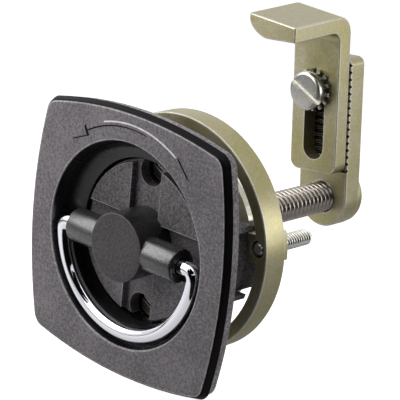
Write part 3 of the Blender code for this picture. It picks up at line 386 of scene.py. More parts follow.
def trace(shape, start, turns, depth=None, aside=None):
    """Draw a chain of arcs and straights in XZ at a depth along Y, or in YZ at a place along X.

    A turn is the point that a straight runs to, or (centre, centre, degrees, steps) for an arc,
    which runs anticlockwise where its degrees are positive.
    """
    flat = aside is None

    def spot(first, second):
        return Vector((first, depth, second) if flat else (aside, first, second)) * MM

    last = shape.verts.new(spot(*start))
    for turn in turns:
        if len(turn) == 2:
            following = shape.verts.new(spot(*turn))
            shape.edges.new((last, following))
            last = following
            continue
        made = bmesh.ops.spin(
            shape, geom=[last], cent=spot(*turn[:2]), axis=-AXIS_Y if flat else AXIS_X,
            angle=math.radians(turn[2]), steps=turn[3], use_merge=False,
        )
        last = [item for item in made["geom_last"] if isinstance(item, bmesh.types.BMVert)][0]


def extrude(shape, faces, vector):
    """Extrude faces along a vector and return the vertices and the faces that moved."""
    made = bmesh.ops.extrude_face_region(shape, geom=faces)["geom"]
    verts = [item for item in made if isinstance(item, bmesh.types.BMVert)]
    bmesh.ops.translate(shape, vec=Vector(vector) * MM, verts=verts)
    return verts, [item for item in made if isinstance(item, bmesh.types.BMFace)]


def close_and_pull(shape, vector):
    """Close an outline, fill it and pull it along a vector to a solid."""
    bmesh.ops.remove_doubles(shape, verts=shape.verts, dist=0.000003)
    ends = [vert for vert in shape.verts if len(vert.link_edges) == 1]
    if ends:
        shape.edges.new(ends)
    bmesh.ops.contextual_create(shape, geom=shape.edges[:])
    extrude(shape, shape.faces[:], vector)
    bmesh.ops.recalc_face_normals(shape, faces=shape.faces)
    return shape


def round_edges(shape, width, segments=2):
    """Bevel the sharp edges of a mesh."""
    sharp = [edge for edge in shape.edges if edge.calc_face_angle(0.0) > math.radians(50.0)]
    bmesh.ops.bevel(
        shape, geom=sharp, offset=width * MM, offset_type="OFFSET", segments=segments, profile=0.5,
        affect="EDGES", clamp_overlap=True, material=-1,
    )
    return shape


def prism(start, turns, front, back, bevel=0.0, segments=2):
    """Return a solid between two depths, with the outline of a chain of arcs and straights."""
    shape = bmesh.new()
    trace(shape, start, turns, depth=front)
    close_and_pull(shape, (0.0, back - front, 0.0))
    return round_edges(shape, bevel, segments) if bevel else shape


def strung(points):
    """Return a mesh with straight edges from point to point."""
    shape = bmesh.new()
    corners = [shape.verts.new(Vector(point) * MM) for point in points]
    for first, second in zip(corners, corners[1:]):
        shape.edges.new((first, second))
    return shape


def spun(profile, steps=96, axis=AXIS_Y, closed=False):
    """Spin a profile of (radius, depth) points once about an axis."""
    if closed:
        profile = [*profile, profile[0]]
    points = [(radius, depth, 0.0) if axis == AXIS_Y else (depth, radius, 0.0) for radius, depth in profile]
    shape = strung(points)
    bmesh.ops.spin(
        shape, geom=shape.verts[:] + shape.edges[:], cent=(0.0, 0.0, 0.0), axis=axis,
        angle=math.radians(360.0), steps=steps, use_merge=True,
    )
    bmesh.ops.remove_doubles(shape, verts=shape.verts, dist=0.000002)
    bmesh.ops.dissolve_degenerate(shape, edges=shape.edges, dist=0.000001)
    bmesh.ops.recalc_face_normals(shape, faces=shape.faces)
    return shape


def bar(low, high, bevel=0.0):
    """Return a box between two corners."""
    shape = bmesh.new()
    bmesh.ops.create_cube(shape, size=1.0)
    bmesh.ops.scale(shape, vec=(Vector(high) - Vector(low)) * MM, verts=shape.verts)
    bmesh.ops.translate(shape, vec=(Vector(high) + Vector(low)) / 2 * MM, verts=shape.verts)
    shape.normal_update()
    return round_edges(shape, bevel, 1) if bevel else shape


def drill(radius, front, back, place=(0.0, 0.0), steps=40):
    """Return a round bar along Y at an (x, z) place."""
    shape = bmesh.new()
    bmesh.ops.create_cone(
        shape, cap_ends=True, segments=steps, radius1=radius * MM, radius2=radius * MM,
        depth=(back - front) * MM, matrix=FACING_Y @ Matrix.Rotation(0.05, 4, "Z"),
    )
    return move(shape, (place[0], (front + back) / 2, place[1]))


def add_circle(shape, radius, depth, segments):
    """Add an open circle round the Y axis and return its edges."""
    made = bmesh.ops.create_circle(
        shape, cap_ends=False, segments=segments, radius=radius * MM, matrix=FACING_Y
    )
    bmesh.ops.translate(shape, vec=AXIS_Y * depth * MM, verts=made["verts"])
    return list({edge for vert in made["verts"] for edge in vert.link_edges})


def thread(core, crest, pitch, front, back, steps=28):
    """Return a helical thread ridge as one closed worm whose foot is sunk in the core."""
    foot = core - 0.25
    section = [(foot, 0.0), (core, 0.0), (crest, 0.40), (crest, 0.60), (core, 1.0), (foot, 1.0)]
    shape = bmesh.new()
    corners = [Vector((radius, front + share * pitch * 0.98, 0.0)) * MM for radius, share in section]
    face = shape.faces.new([shape.verts.new(corner) for corner in corners])
    total = int(((back - front) / pitch - 1.0) * steps)
    bmesh.ops.spin(
        shape, geom=[face, *face.edges, *face.verts], cent=(0.0, 0.0, 0.0), axis=AXIS_Y,
        dvec=AXIS_Y * pitch * MM / steps, angle=math.radians(360.0) * total / steps, steps=total,
        use_duplicate=False,
    )
    bmesh.ops.recalc_face_normals(shape, faces=shape.faces)
    return shape


def move(shape, vector):
    """Move a mesh along a vector."""
    bmesh.ops.translate(shape, vec=Vector(vector) * MM, verts=shape.verts)
    return shape


def turn_about_y(shape, degrees):
    """Turn a mesh about the Y axis, clockwise from the front where the degrees are positive."""
    matrix = Matrix.Rotation(math.radians(degrees), 3, "Y")
    bmesh.ops.rotate(shape, cent=(0.0, 0.0, 0.0), matrix=matrix, verts=shape.verts)
    return shape


def mirrored(shape, sign_x, sign_z=1):
    """Mirror a mesh along X or Z where the sign is negative."""
    bmesh.ops.scale(shape, vec=(sign_x, 1.0, sign_z), verts=shape.verts)
    bmesh.ops.recalc_face_normals(shape, faces=shape.faces)
    return shape


# Piece helpers


def add_piece(name, shape, finish_name, smooth=32.0):
    """Turn a mesh into a shown object with one finish."""
    mesh = bpy.data.meshes.new(name)
    shape.to_mesh(mesh)
    shape.free()
    mesh.shade_smooth()
    mesh.set_sharp_from_angle(angle=math.radians(smooth))
    mesh.materials.append(finish(finish_name))
    piece = bpy.data.objects.new(name, mesh)
    bpy.context.scene.collection.objects.link(piece)
    return piece


def boolean(piece, tools, operation="DIFFERENCE", smooth=32.0):
    """Apply a Boolean of each tool mesh to a piece."""
    for tool in tools:
        mesh = bpy.data.meshes.new("tool")
        tool.to_mesh(mesh)
        tool.free()
        helper = bpy.data.objects.new("tool", mesh)
        bpy.context.scene.collection.objects.link(helper)
        step = piece.modifiers.new("cut", "BOOLEAN")
        step.operation = operation
        step.solver = "EXACT"
        step.object = helper
        bpy.context.view_layer.update()
        graph = bpy.context.evaluated_depsgraph_get()
        result = bpy.data.meshes.new_from_object(piece.evaluated_get(graph))
        piece.modifiers.clear()
        old = piece.data
        piece.data = result
        bpy.data.meshes.remove(old)
        bpy.data.objects.remove(helper)
        bpy.data.meshes.remove(mesh)
    piece.data.name = piece.name
    piece.data.shade_smooth()
    piece.data.set_sharp_from_angle(angle=math.radians(smooth))
    return piece


def shift(piece, x, z):
    """Move a finished piece's mesh across the Y axis."""
    piece.data.transform(Matrix.Translation(Vector((x, 0.0, z)) * MM))
    return piece


def lean(piece):
    """Lean a finished piece's mesh with the cam arm."""
    piece.data.transform(Matrix.Rotation(-bpy.context.scene.latch_sizes.arm_lean, 4, "Y"))
    return piece


def even_normals(piece):
    """Keep the shading of large flat faces flat where they meet small rounded edges."""
    step = piece.modifiers.new("even normals", "WEIGHTED_NORMAL")
    step.keep_sharp = True
    return piece


def paint(piece, finish_name, chosen):
    """Give another finish to the faces that a test of the face and its centre chooses."""
    piece.data.materials.append(finish(finish_name))
    for polygon in piece.data.polygons:
        if chosen(polygon, polygon.center / MM):
            polygon.material_index = len(piece.data.materials) - 1
    return piece


def paint_edge_highlights(piece, finish_name, width):
    """Paint a highlight on the narrow faces of a piece's rounded edges with a paler finish."""
    piece.data.materials.append(finish(finish_name))
    for polygon in piece.data.polygons:
        corners = [piece.data.vertices[index].co for index in polygon.vertices]
        longest = max((one - other).length for one, other in zip(corners, corners[1:] + corners[:1]))
        if polygon.area / longest < width * MM:
            polygon.material_index = len(piece.data.materials) - 1
    return piece


def fit_out(piece, body, slot, *nodes):
    """Make a piece ride on a body and stand for CAD nodes by hiding them. The slot is not used."""
    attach(piece, body)
    if nodes:
        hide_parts(*nodes)


# Bezel and cup


def bowed_outline(shape, depth, inset):
    """Draw the bezel's bowed square outline at a depth and return its edges."""
    half = bpy.context.scene.latch_sizes.bezel_width / MM / 2 - inset
    side_radius = BEZEL_SIDE_RADIUS - inset
    middle = half - side_radius
    reach = BEZEL_SIDE_RADIUS - BEZEL_CORNER_RADIUS
    corner = (middle + math.sqrt(2 * reach * reach - middle * middle)) / 2
    side_angle = math.degrees(math.atan2(corner, corner - middle))
    turns = []
    for quarter in range(4):
        spin = Matrix.Rotation(math.radians(90.0 * quarter), 2)
        turns.append((*(spin @ Vector((middle, 0.0))), 2 * side_angle, 14))
        turns.append((*(spin @ Vector((corner, corner))), 90.0 - 2 * side_angle, 8))
    x, z = round_point(side_radius, -side_angle)
    trace(shape, (middle + x, z), turns, depth=depth)
    bmesh.ops.remove_doubles(shape, verts=shape.verts, dist=0.000005)
    return shape.edges[:]


def next_loop(shape, edges, depth_change, scale=1.0):
    """Extrude a loop of edges by a depth and scale it about the Y axis."""
    made = bmesh.ops.extrude_edge_only(shape, edges=edges)["geom"]
    verts = [item for item in made if isinstance(item, bmesh.types.BMVert)]
    bmesh.ops.translate(shape, vec=AXIS_Y * depth_change * MM, verts=verts)
    bmesh.ops.scale(shape, vec=(scale, 1.0, scale), verts=verts)
    return [item for item in made if isinstance(item, bmesh.types.BMEdge)]


def loops_along(shape, edges, profile):
    """Extrude a loop of edges along a profile of (radius or half width, depth) points."""
    for (size, depth), (next_size, next_depth) in zip(profile, profile[1:]):
        edges = next_loop(shape, edges, next_depth - depth, next_size / size)
    return edges


def bridged(shape, *pairs):
    """Bridge each pair of edge loops and turn the faces of the closed mesh outwards."""
    for pair in pairs:
        bmesh.ops.bridge_loops(shape, edges=pair)
    bmesh.ops.recalc_face_normals(shape, faces=shape.faces)
    return shape


def dish_profile():
    """Return the dish from its rim to the spindle's bore as (radius, depth) points."""
    rim = bpy.context.scene.latch_sizes.dish_radius / MM
    side, side_end = rim - 0.6, -2.4
    ledge, drop = 23.3, 4.7
    points = [
        (rim + DISH_MARGIN, FACE), (rim + 0.45, FACE), (rim + 0.12, FACE + 0.12), (rim, FACE + 0.4),
        (side, side_end),
    ]
    for angle in range(9, 91, 9):
        cosine, sine = round_point(1.0, angle)
        points.append((ledge + (side - ledge) * cosine, side_end + drop * sine))
    return [*points, (ledge, CUP_FLOOR - 0.6), (ledge - 0.6, CUP_FLOOR), (BORE_RADIUS, CUP_FLOOR)]


def rear_profile():
    """Return the cup's outside from the spindle's bore to the flange's back."""
    return [
        (BORE_RADIUS, CUP_BACK), (24.6, CUP_BACK), (25.5, CUP_BACK - 0.8), (25.6, 7.6), (26.4, 4.9),
        (28.1, 2.3), (PILOT_RADIUS, 1.0), (PILOT_RADIUS, FLANGE_BACK),
    ]


def arrow_shapes():
    """Return the band and the two heads of the raised turning arrow, with sloping walls."""
    foot = FACE + ARROW_FOOT
    band = bmesh.new()
    ends = [band.verts.new(polar(radius, 90.0 - ARROW_HALF_SPAN, foot)) for radius in ARROW_BAND]
    bmesh.ops.spin(
        band, geom=[*ends, band.edges.new(ends)], cent=(0.0, 0.0, 0.0), axis=-AXIS_Y,
        angle=math.radians(2 * ARROW_HALF_SPAN), steps=30,
    )
    raised = extrude(band, band.faces[:], (0.0, -ARROW_RISE, 0.0))[0]
    for radius, top_radius in zip(ARROW_BAND, ARROW_BAND_TOP):
        wall = [vert for vert in raised if abs(math.hypot(vert.co.x, vert.co.z) / MM - radius) < 0.1]
        factor = top_radius / radius
        bmesh.ops.scale(band, vec=(factor, 1.0, factor), verts=wall)
    shapes = [band]
    for base, tip in ((60.3, 45.6), (119.7, 134.4)):
        head = bmesh.new()
        corners = [polar(31.3, base, foot), polar(33.5, tip, foot), polar(35.2, base, foot)]
        head.faces.new([head.verts.new(corner) for corner in corners])
        raised = extrude(head, head.faces[:], (0.0, -ARROW_RISE, 0.0))[0]
        middle = Matrix.Translation(-sum(corners, Vector()) / 3)
        bmesh.ops.scale(head, vec=(0.6, 1.0, 0.6), verts=raised, space=middle)
        shapes.append(head)
    for shape in shapes:
        bmesh.ops.recalc_face_normals(shape, faces=shape.faces)
    return shapes


def arrow_finish(centre, outward):
    """Return the finish of one of the arrow's sloping walls: a painted highlight, painted shade, or as the
    face.
    """
    angle = math.degrees(math.atan2(centre.z, centre.x))
    # Walls turned to the light get a painted highlight and walls turned from it painted shade.
    if angle > 119.6:
        dark = outward < 0.1 and math.hypot(centre.x, centre.z) < 33.6
    elif angle < 60.4:
        dark = outward > 0.0
    elif outward > 0.0:
        return "painted_highlight_line" if angle < 108.0 else "grained_face"
    else:
        dark = angle > 80.0
    return "painted_shade_side" if dark else "grained_face"


def bezel_finish(centre, normal):
    """Return the finish of one of the bezel's faces from its centre and normal."""
    radius = math.hypot(centre.x, centre.z)
    if centre.y > FACE + 0.3 and radius < 29.3:
        return "polished_dish"
    # The bezel's side band gets painted shade.
    if FACE + 0.2 < centre.y < FLANGE_BACK and radius > 35.0:
        return "painted_shade_side"
    # The rim chamfer and the face's rounded outer edge get a painted highlight.
    if FACE + 0.04 < centre.y < FACE + 0.39 and (radius > 35.7 or radius < 29.6):
        return "painted_highlight_edge"
    if centre.y < FACE - 0.02 and abs(normal.y) < 0.98:
        return arrow_finish(centre, normal.x * centre.x + normal.z * centre.z)
    return "grained_face"


class LATCH_OT_bezel(bpy.types.Operator):
    """Build the bezel with its dish, arrow, ears and posts, and the gasket"""

    bl_idname = "latch.bezel"
    bl_label = "Bezel and Cup"

    def execute(self, context):
        shape = bmesh.new()
        outline = bowed_outline(shape, FACE, 2.0)
        back = loops_along(shape, outline, [
            (36.25, FACE), (36.66, FACE + 0.02), (37.02, FACE + 0.14), (37.30, FACE + 0.38),
            (37.49, FACE + 0.74), (37.62, FACE + 1.15), (38.04, FLANGE_BACK - 0.3),
            (38.0, FLANGE_BACK - 0.1), (37.8, FLANGE_BACK),
        ])
        profile = dish_profile()
        rim = add_circle(shape, profile[0][0], FACE, 144)
        bore = next_loop(shape, loops_along(shape, rim, profile), CUP_BACK - CUP_FLOOR)
        rear = loops_along(shape, bore, rear_profile())
        piece = add_piece("bezel", bridged(shape, outline + rim, back + rear), "grained_face")
        ends = (CUP_FLOOR - 1.0, CUP_FLOOR + 2.3)
        boolean(piece, [drill(3.7, *ends, (0.0, height)) for height in (-ACCESS_HEIGHT, ACCESS_HEIGHT)])
        boolean(piece, arrow_shapes(), "UNION")
        names = ["grained_face", "polished_dish", "painted_shade_side", "painted_highlight_line", "painted_highlight_edge"]
        for name in names[1:]:
            piece.data.materials.append(finish(name))
        for polygon in piece.data.polygons:
            polygon.material_index = names.index(bezel_finish(polygon.center / MM, polygon.normal))
        fit_out(even_normals(piece), "cup", "grained_plastic", "bezel_cup")
        self.build_ears()
        self.build_gasket()
        return {"FINISHED"}

    def build_ears(self):
        """Build the ears, the tongues behind them and the posts for the bearing plate."""
        half = rise(PILOT_RADIUS, EAR_HALF_HEIGHT)
        rib = rise(PILOT_RADIUS, TONGUE_HALF_HEIGHT)
        floor = rise(TONGUE_RADIUS, TONGUE_HALF_HEIGHT)
        inner = rise(TONGUE_INNER_RADIUS, TONGUE_HALF_HEIGHT)
        ear = [
            (0.0, 0.0, half - rib, 2), round_point(TONGUE_RADIUS, -floor), (0.0, 0.0, 2 * floor, 12),
            round_point(PILOT_RADIUS, rib), (0.0, 0.0, half - rib, 2), (20.9, EAR_HALF_HEIGHT),
            (20.9, -EAR_HALF_HEIGHT),
        ]
        tongue = [
            (0.0, 0.0, 2 * floor, 12), round_point(TONGUE_INNER_RADIUS, inner), (0.0, 0.0, -2 * inner, 12),
        ]
        for turn, side in ((0.0, "right"), (180.0, "left")):
            shapes = {
                "ear_" + side: prism(round_point(PILOT_RADIUS, -half), ear, 4.2, 15.2, 0.25),
                "tongue_" + side: prism(round_point(TONGUE_RADIUS, -floor), tongue, 14.2, 27.0, 0.25),
            }
            for name, shape in shapes.items():
                piece = add_piece(name, turn_about_y(shape, turn), "grained_handle")
                fit_out(piece, "cup", "grained_plastic")
        for height, side in ((ACCESS_HEIGHT, "top"), (-ACCESS_HEIGHT, "bottom")):
            post = drill(3.9, CUP_BACK - 0.5, 20.7, (0.0, height), 48)
            fit_out(add_piece("post_" + side, post, "grained_handle"), "cup", "grained_plastic")

    def build_gasket(self):
        """Build the grained gasket band behind the bezel."""
        shape = bmesh.new()
        outline = bowed_outline(shape, GASKET_FRONT, 0.95)
        back = loops_along(shape, outline, [(37.3, GASKET_FRONT), (37.6, -2.5), (37.6, -0.3), (37.3, 0.0)])
        hole = add_circle(shape, 30.0, GASKET_FRONT, 96)
        hole_back = next_loop(shape, hole, -GASKET_FRONT)
        piece = add_piece("gasket_band", bridged(shape, outline + hole, back + hole_back), "grained_gasket")
        fit_out(even_normals(piece), "cup", "gasket_rubber", "gasket")


# Handle


class LATCH_OT_handle(bpy.types.Operator):
    """Build the handle casting: disc, four pads, hub and barrel"""

    bl_idname = "latch.handle"
    bl_label = "Handle"

    def execute(self, context):
        disc = spun([
            (0.0, WEB_FRONT), (22.6, WEB_FRONT), (22.8, WEB_FRONT + 0.2), (22.8, DISC_BACK), (0.0, DISC_BACK),
        ], 128)
        ends = (WEB_FRONT - 3.0, DISC_BACK + 1.0)
        notches = [drill(4.2, *ends, (0.0, height)) for height in (-ACCESS_HEIGHT, ACCESS_HEIGHT)]
        piece = boolean(add_piece("handle_disc", disc, "grained_handle"), [*notches, drill(5.06, 5.4, 8.0)])
        fit_out(even_normals(piece), "turning", "grained_plastic", "handle")
        for sign_x, sign_z, name in ((1, 1, "ne"), (-1, 1, "nw"), (-1, -1, "sw"), (1, -1, "se")):
            self.build_pad(sign_x, sign_z, "handle_pad_" + name)
        self.build_hub()
        self.build_barrel()
        return {"FINISHED"}

    def build_pad(self, sign_x, sign_z, name):
        """Build one of the pads, with a painted highlight on its rounded edges and a paler painted highlight
        line on its edge towards the barrel.
        """
        radius, inner_x, inner_z = 22.0, 5.6, 6.4
        start = rise(radius, inner_z)
        path = [(0.0, 0.0, 90.0 - rise(radius, inner_x) - start, 20), (inner_x, inner_z)]
        shape = prism(round_point(radius, start), path, PAD_FRONT, WEB_FRONT + 0.4, 0.22)
        piece = add_piece(name, mirrored(shape, sign_x, sign_z), "grained_handle")
        even_normals(paint_edge_highlights(piece, "painted_highlight_edge", 0.2))
        # The rounded edge facing the barrel gets a paler painted highlight line.
        paint(piece, "painted_highlight_line", lambda face, centre: (
            face.material_index == 1 and face.normal.z * sign_z < -0.2 and face.normal.y < -0.3
        ))
        fit_out(piece, "turning", "grained_plastic")

    def build_hub(self):
        """Build the hub with its flat front and rounded rim."""
        hub = spun([
            (0.0, -8.1), (8.6, -8.1), (9.25, -8.06), (9.55, -7.9), (9.7, -7.6), (9.7, 3.4), (9.9, 4.2),
            (10.4, WEB_FRONT), (10.4, WEB_FRONT + 0.4), (0.0, WEB_FRONT + 0.4),
        ])
        piece = even_normals(add_piece("handle_hub", hub, "grained_hub"))
        # The hub's side faces get the barrel's near-black finish: painted shade.
        paint(piece, "glossy_painted_shade", lambda face, centre: abs(face.normal.y) < 0.3)
        fit_out(piece, "turning", "grained_plastic")

    def build_barrel(self):
        """Build the barrel across the hub, open at both ends for the ring's pins."""
        half = [
            (0.0, 13.8), (2.5, 13.8), (2.5, 20.3), (4.3, 20.3), (4.65, 20.15), (4.8, 19.8), (4.8, 12.0),
            (4.8, 4.0),
        ]
        profile = [(radius, -place) for radius, place in half] + half[::-1]
        shape = move(spun(profile, 64, AXIS_X), (0.0, BARREL_DEPTH, 0.0))
        # The barrel's near-black finish is painted shade on a glossier surface.
        fit_out(add_piece("handle_barrel", shape, "glossy_painted_shade"), "turning", "grained_plastic")


class LATCH_OT_pull_ring(bpy.types.Operator):
    """Build the chrome pull ring from one bent round bar"""

    bl_idname = "latch.pull_ring"
    bl_label = "Pull Ring"

    def execute(self, context):
        pin_end, bend = 14.1, 2.4
        reach = 25.5 - bend
        slope = rise(reach, bend)
        aside = round_point(reach, slope)[0]
        shape = bmesh.new()
        bmesh.ops.create_circle(
            shape, cap_ends=True, segments=32, radius=context.scene.latch_sizes.ring_bar_radius,
            matrix=Matrix.Rotation(math.radians(90.0), 4, "Y"),
        )
        move(shape, (pin_end, 0.0, 0.0))
        section = extrude(shape, shape.faces[:], (aside - pin_end, 0.0, 0.0))[1]
        section = self.bend_bar(shape, section, (aside, 0.0, -bend), 90.0 + slope, 14)
        section = self.bend_bar(shape, section, (0.0, 0.0, 0.0), 180.0 - 2 * slope, 72)
        section = self.bend_bar(shape, section, (-aside, 0.0, -bend), 90.0 + slope, 14)
        extrude(shape, section, (aside - pin_end, 0.0, 0.0))
        bmesh.ops.recalc_face_normals(shape, faces=shape.faces)
        move(shape, (0.0, BARREL_DEPTH, 0.0))
        piece = add_piece("chrome_ring", shape, "polished_chrome", 50.0)
        fit_out(piece, "ring", "chrome", "pull_ring")
        return {"FINISHED"}

    def bend_bar(self, shape, section, centre, degrees, steps):
        """Spin the bar's end face about a bend's centre and return the new end face."""
        geom = {item for face in section for item in (face, *face.edges, *face.verts)}
        made = bmesh.ops.spin(
            shape, geom=list(geom), cent=Vector(centre) * MM, axis=AXIS_Y, angle=math.radians(degrees),
            steps=steps,
        )
        bmesh.ops.delete(shape, geom=[face for face in section if face.is_valid], context="FACES_ONLY")
        return [item for item in made["geom_last"] if isinstance(item, bmesh.types.BMFace)]


# Spindle and screws


def screw_body(name, profile, place, body, slot, node, finish_name, ridge=None, tools=(), steps=64):
    """Build a screw from a spun profile and a thread ridge at an (x, z) place."""
    piece = boolean(add_piece(name, spun(profile, steps), finish_name), tools)
    fit_out(even_normals(shift(piece, *place)), body, slot, node)
    if ridge:
        worm = add_piece(name + "_thread", thread(*ridge), finish_name, 60.0)
        fit_out(shift(worm, *place), body, slot)


class LATCH_OT_spindle(bpy.types.Operator):
    """Build the threaded spindle and give the inner pieces their finishes"""

    bl_idname = "latch.spindle"
    bl_label = "Spindle"

    def execute(self, context):
        pitch = context.scene.latch_sizes.thread_pitch / MM
        profile = [
            (0.0, -4.5), (SPINDLE_RADIUS, -4.5), (SPINDLE_RADIUS, 23.0), (CORE_RADIUS, 23.0),
            (CORE_RADIUS, 24.8), (SPINDLE_RADIUS, 24.8), (SPINDLE_RADIUS, 30.5), (CORE_RADIUS, 31.2),
            (CORE_RADIUS, 86.3), (3.7, 87.0), (0.0, 87.0),
        ]
        screw_body(
            "spindle", profile, (0.0, 0.0), "turning", "spindle_steel", "threaded_spindle", "rolled_steel",
            (CORE_RADIUS, SPINDLE_RADIUS, pitch, 31.0, 87.4),
        )
        finishes = {
            # The bearing plate and the stop cam get the pale chromate: partly paler plating, partly painted
            # highlight over their shade.
            "bearing_plate": "pale_plating_painted_highlight",
            "stop_cam": "pale_plating_painted_highlight",
            "retaining_clip": "bright_zinc",
            "spindle_seal": "soft_rubber",
        }
        for node, name in finishes.items():
            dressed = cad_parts[node]
            if not dressed.material_slots:
                dressed.data.materials.append(finish(name))
            for material_slot in dressed.material_slots:
                material_slot.material = finish(name)
        return {"FINISHED"}


class LATCH_OT_screws(bpy.types.Operator):
    """Build the cup screws, the jack screws, the cam screw and its star washer"""

    bl_idname = "latch.screws"
    bl_label = "Screws"

    def execute(self, context):
        self.build_cup_screws()
        self.build_jack_screws()
        self.build_cam_screw()
        self.build_star_washer()
        return {"FINISHED"}

    def build_cup_screws(self):
        """Build the slotted screws seen through the handle's notches."""
        profile = [
            (0.0, 7.2), (2.9, 7.2), (3.3, 7.5), (3.4, 8.0), (3.4, 9.2), (1.9, 9.2), (1.9, 24.2), (1.6, 24.5),
            (0.0, 24.5),
        ]
        for height, name in ((ACCESS_HEIGHT, "top"), (-ACCESS_HEIGHT, "bottom")):
            slot = turn_about_y(bar((-5.0, 6.0, -0.4), (5.0, 8.2, 0.4)), 28.0)
            # The heads get near-black zinc: painted shade in the notches, with a painted highlight on their
            # edges.
            screw_body(
                "cup_screw_head_" + name, profile, (0.0, height), "cup", "bright_steel", "cup_screw_" + name,
                "painted_shade_zinc", tools=[slot],
            )

    def build_jack_screws(self):
        """Build the clamp ring's jack screws with their fine thread."""
        profile = [
            (0.0, 15.3), (1.3, 15.3), (1.95, 16.0), (1.95, 34.6), (1.9, 35.2), (1.5, 35.9), (0.8, 36.25),
            (0.0, 36.3),
        ]
        for name, turn in CLAMP_TURNS.items():
            slot = bar((-4.0, 35.1, -0.35), (4.0, 38.0, 0.35))
            # The jack screws get pale zinc: painted highlight and painted reflection.
            screw_body(
                "jack_" + name, profile, round_point(JACK_RADIUS, turn), "clamp", "bright_steel",
                "jack_screw_" + name, "painted_highlight_zinc", (1.95, 2.3, 0.95, 16.0, 35.4, 20), [slot], 40,
            )

    def build_cam_screw(self):
        """Build the slotted cam screw with its rounded cheese head."""
        profile = [
            (0.0, 68.9), (4.8, 68.9), (5.4, 69.05), (5.75, 69.4), (5.85, 69.9), (5.85, 70.8), (5.6, 71.5),
            (5.2, 72.1), (3.0, 72.1), (3.0, 84.6), (2.6, 85.0), (0.0, 85.0),
        ]
        slot = turn_about_y(bar((-9.0, 67.0, -0.75), (9.0, 70.4, 0.75)), 30.0)
        piece = boolean(add_piece("cam_screw_head", spun(profile, 64), "bright_zinc"), [slot])
        lean(shift(piece, SCREW_ASIDE, SCREW_HEIGHT))
        fit_out(even_normals(piece), "turning", "bright_steel", "cam_screw")

    def build_star_washer(self):
        """Build the star washer: a ring whose outer teeth are twisted out of its plane."""
        shape = spun([(3.4, 72.45), (5.0, 72.45), (5.0, 73.25), (3.4, 73.25)], 84, closed=True)
        twist = Matrix.Rotation(math.radians(24.0), 3, "X")
        teeth = 14
        for index in range(teeth):
            tooth = bar((4.8, 72.5, -0.6), (6.45, 73.2, 0.6), 0.12)
            bmesh.ops.rotate(tooth, cent=Vector((5.2, 72.85, 0.0)) * MM, matrix=twist, verts=tooth.verts)
            turn_about_y(tooth, 360.0 * index / teeth + 8.0)
            mesh = bpy.data.meshes.new("tooth")
            tooth.to_mesh(mesh)
            tooth.free()
            shape.from_mesh(mesh)
            bpy.data.meshes.remove(mesh)
        # The washer gets near-black zinc as painted shade between its teeth, and the teeth's fronts pale zinc
        # as a painted highlight.
        piece = lean(shift(add_piece("star_washer_teeth", shape, "painted_shade_zinc"), SCREW_ASIDE, SCREW_HEIGHT))
        paint(piece, "painted_highlight_zinc", lambda face, centre: face.normal.y < -0.6 and centre.y < HOOK_FRONT)
        fit_out(piece, "turning", "bright_steel", "star_washer")


# Clamp ring


class LATCH_OT_clamp_ring(bpy.types.Operator):
    """Build the clamp ring with its two threaded bosses"""

    bl_idname = "latch.clamp_ring"
    bl_label = "Clamp Ring"

    def execute(self, context):
        shape = spun([
            (30.4, 15.3), (30.7, 15.0), (33.7, 15.0), (34.05, 15.12), (34.2, 15.45), (34.2, 22.35),
            (34.05, 22.68), (33.7, 22.8), (30.7, 22.8), (30.4, 22.5),
        ], 160, closed=True)
        # The ring's rounded edges get a painted highlight.
        piece = paint_edge_highlights(add_piece("clamp_ring_body", shape, "yellow_chromate"), "painted_highlight_chromate", 0.4)
        inner_radius, outer_radius, half_width = 27.5, 33.9, 4.1
        inner = rise(inner_radius, half_width)
        outer = rise(outer_radius, half_width)
        start = round_point(outer_radius, -outer)
        path = [(0.0, 0.0, 2 * outer, 10), round_point(inner_radius, inner), (0.0, 0.0, -2 * inner, 10)]
        turns = CLAMP_TURNS.values()
        boolean(piece, [turn_about_y(prism(start, path, 15.25, 24.2, 0.3), -turn) for turn in turns], "UNION")
        boolean(piece, [drill(2.5, 12.0, 27.0, round_point(JACK_RADIUS, turn), 32) for turn in turns])
        fit_out(even_normals(piece), "clamp", "yellow_zinc", "clamp_ring")
        return {"FINISHED"}


# Cam


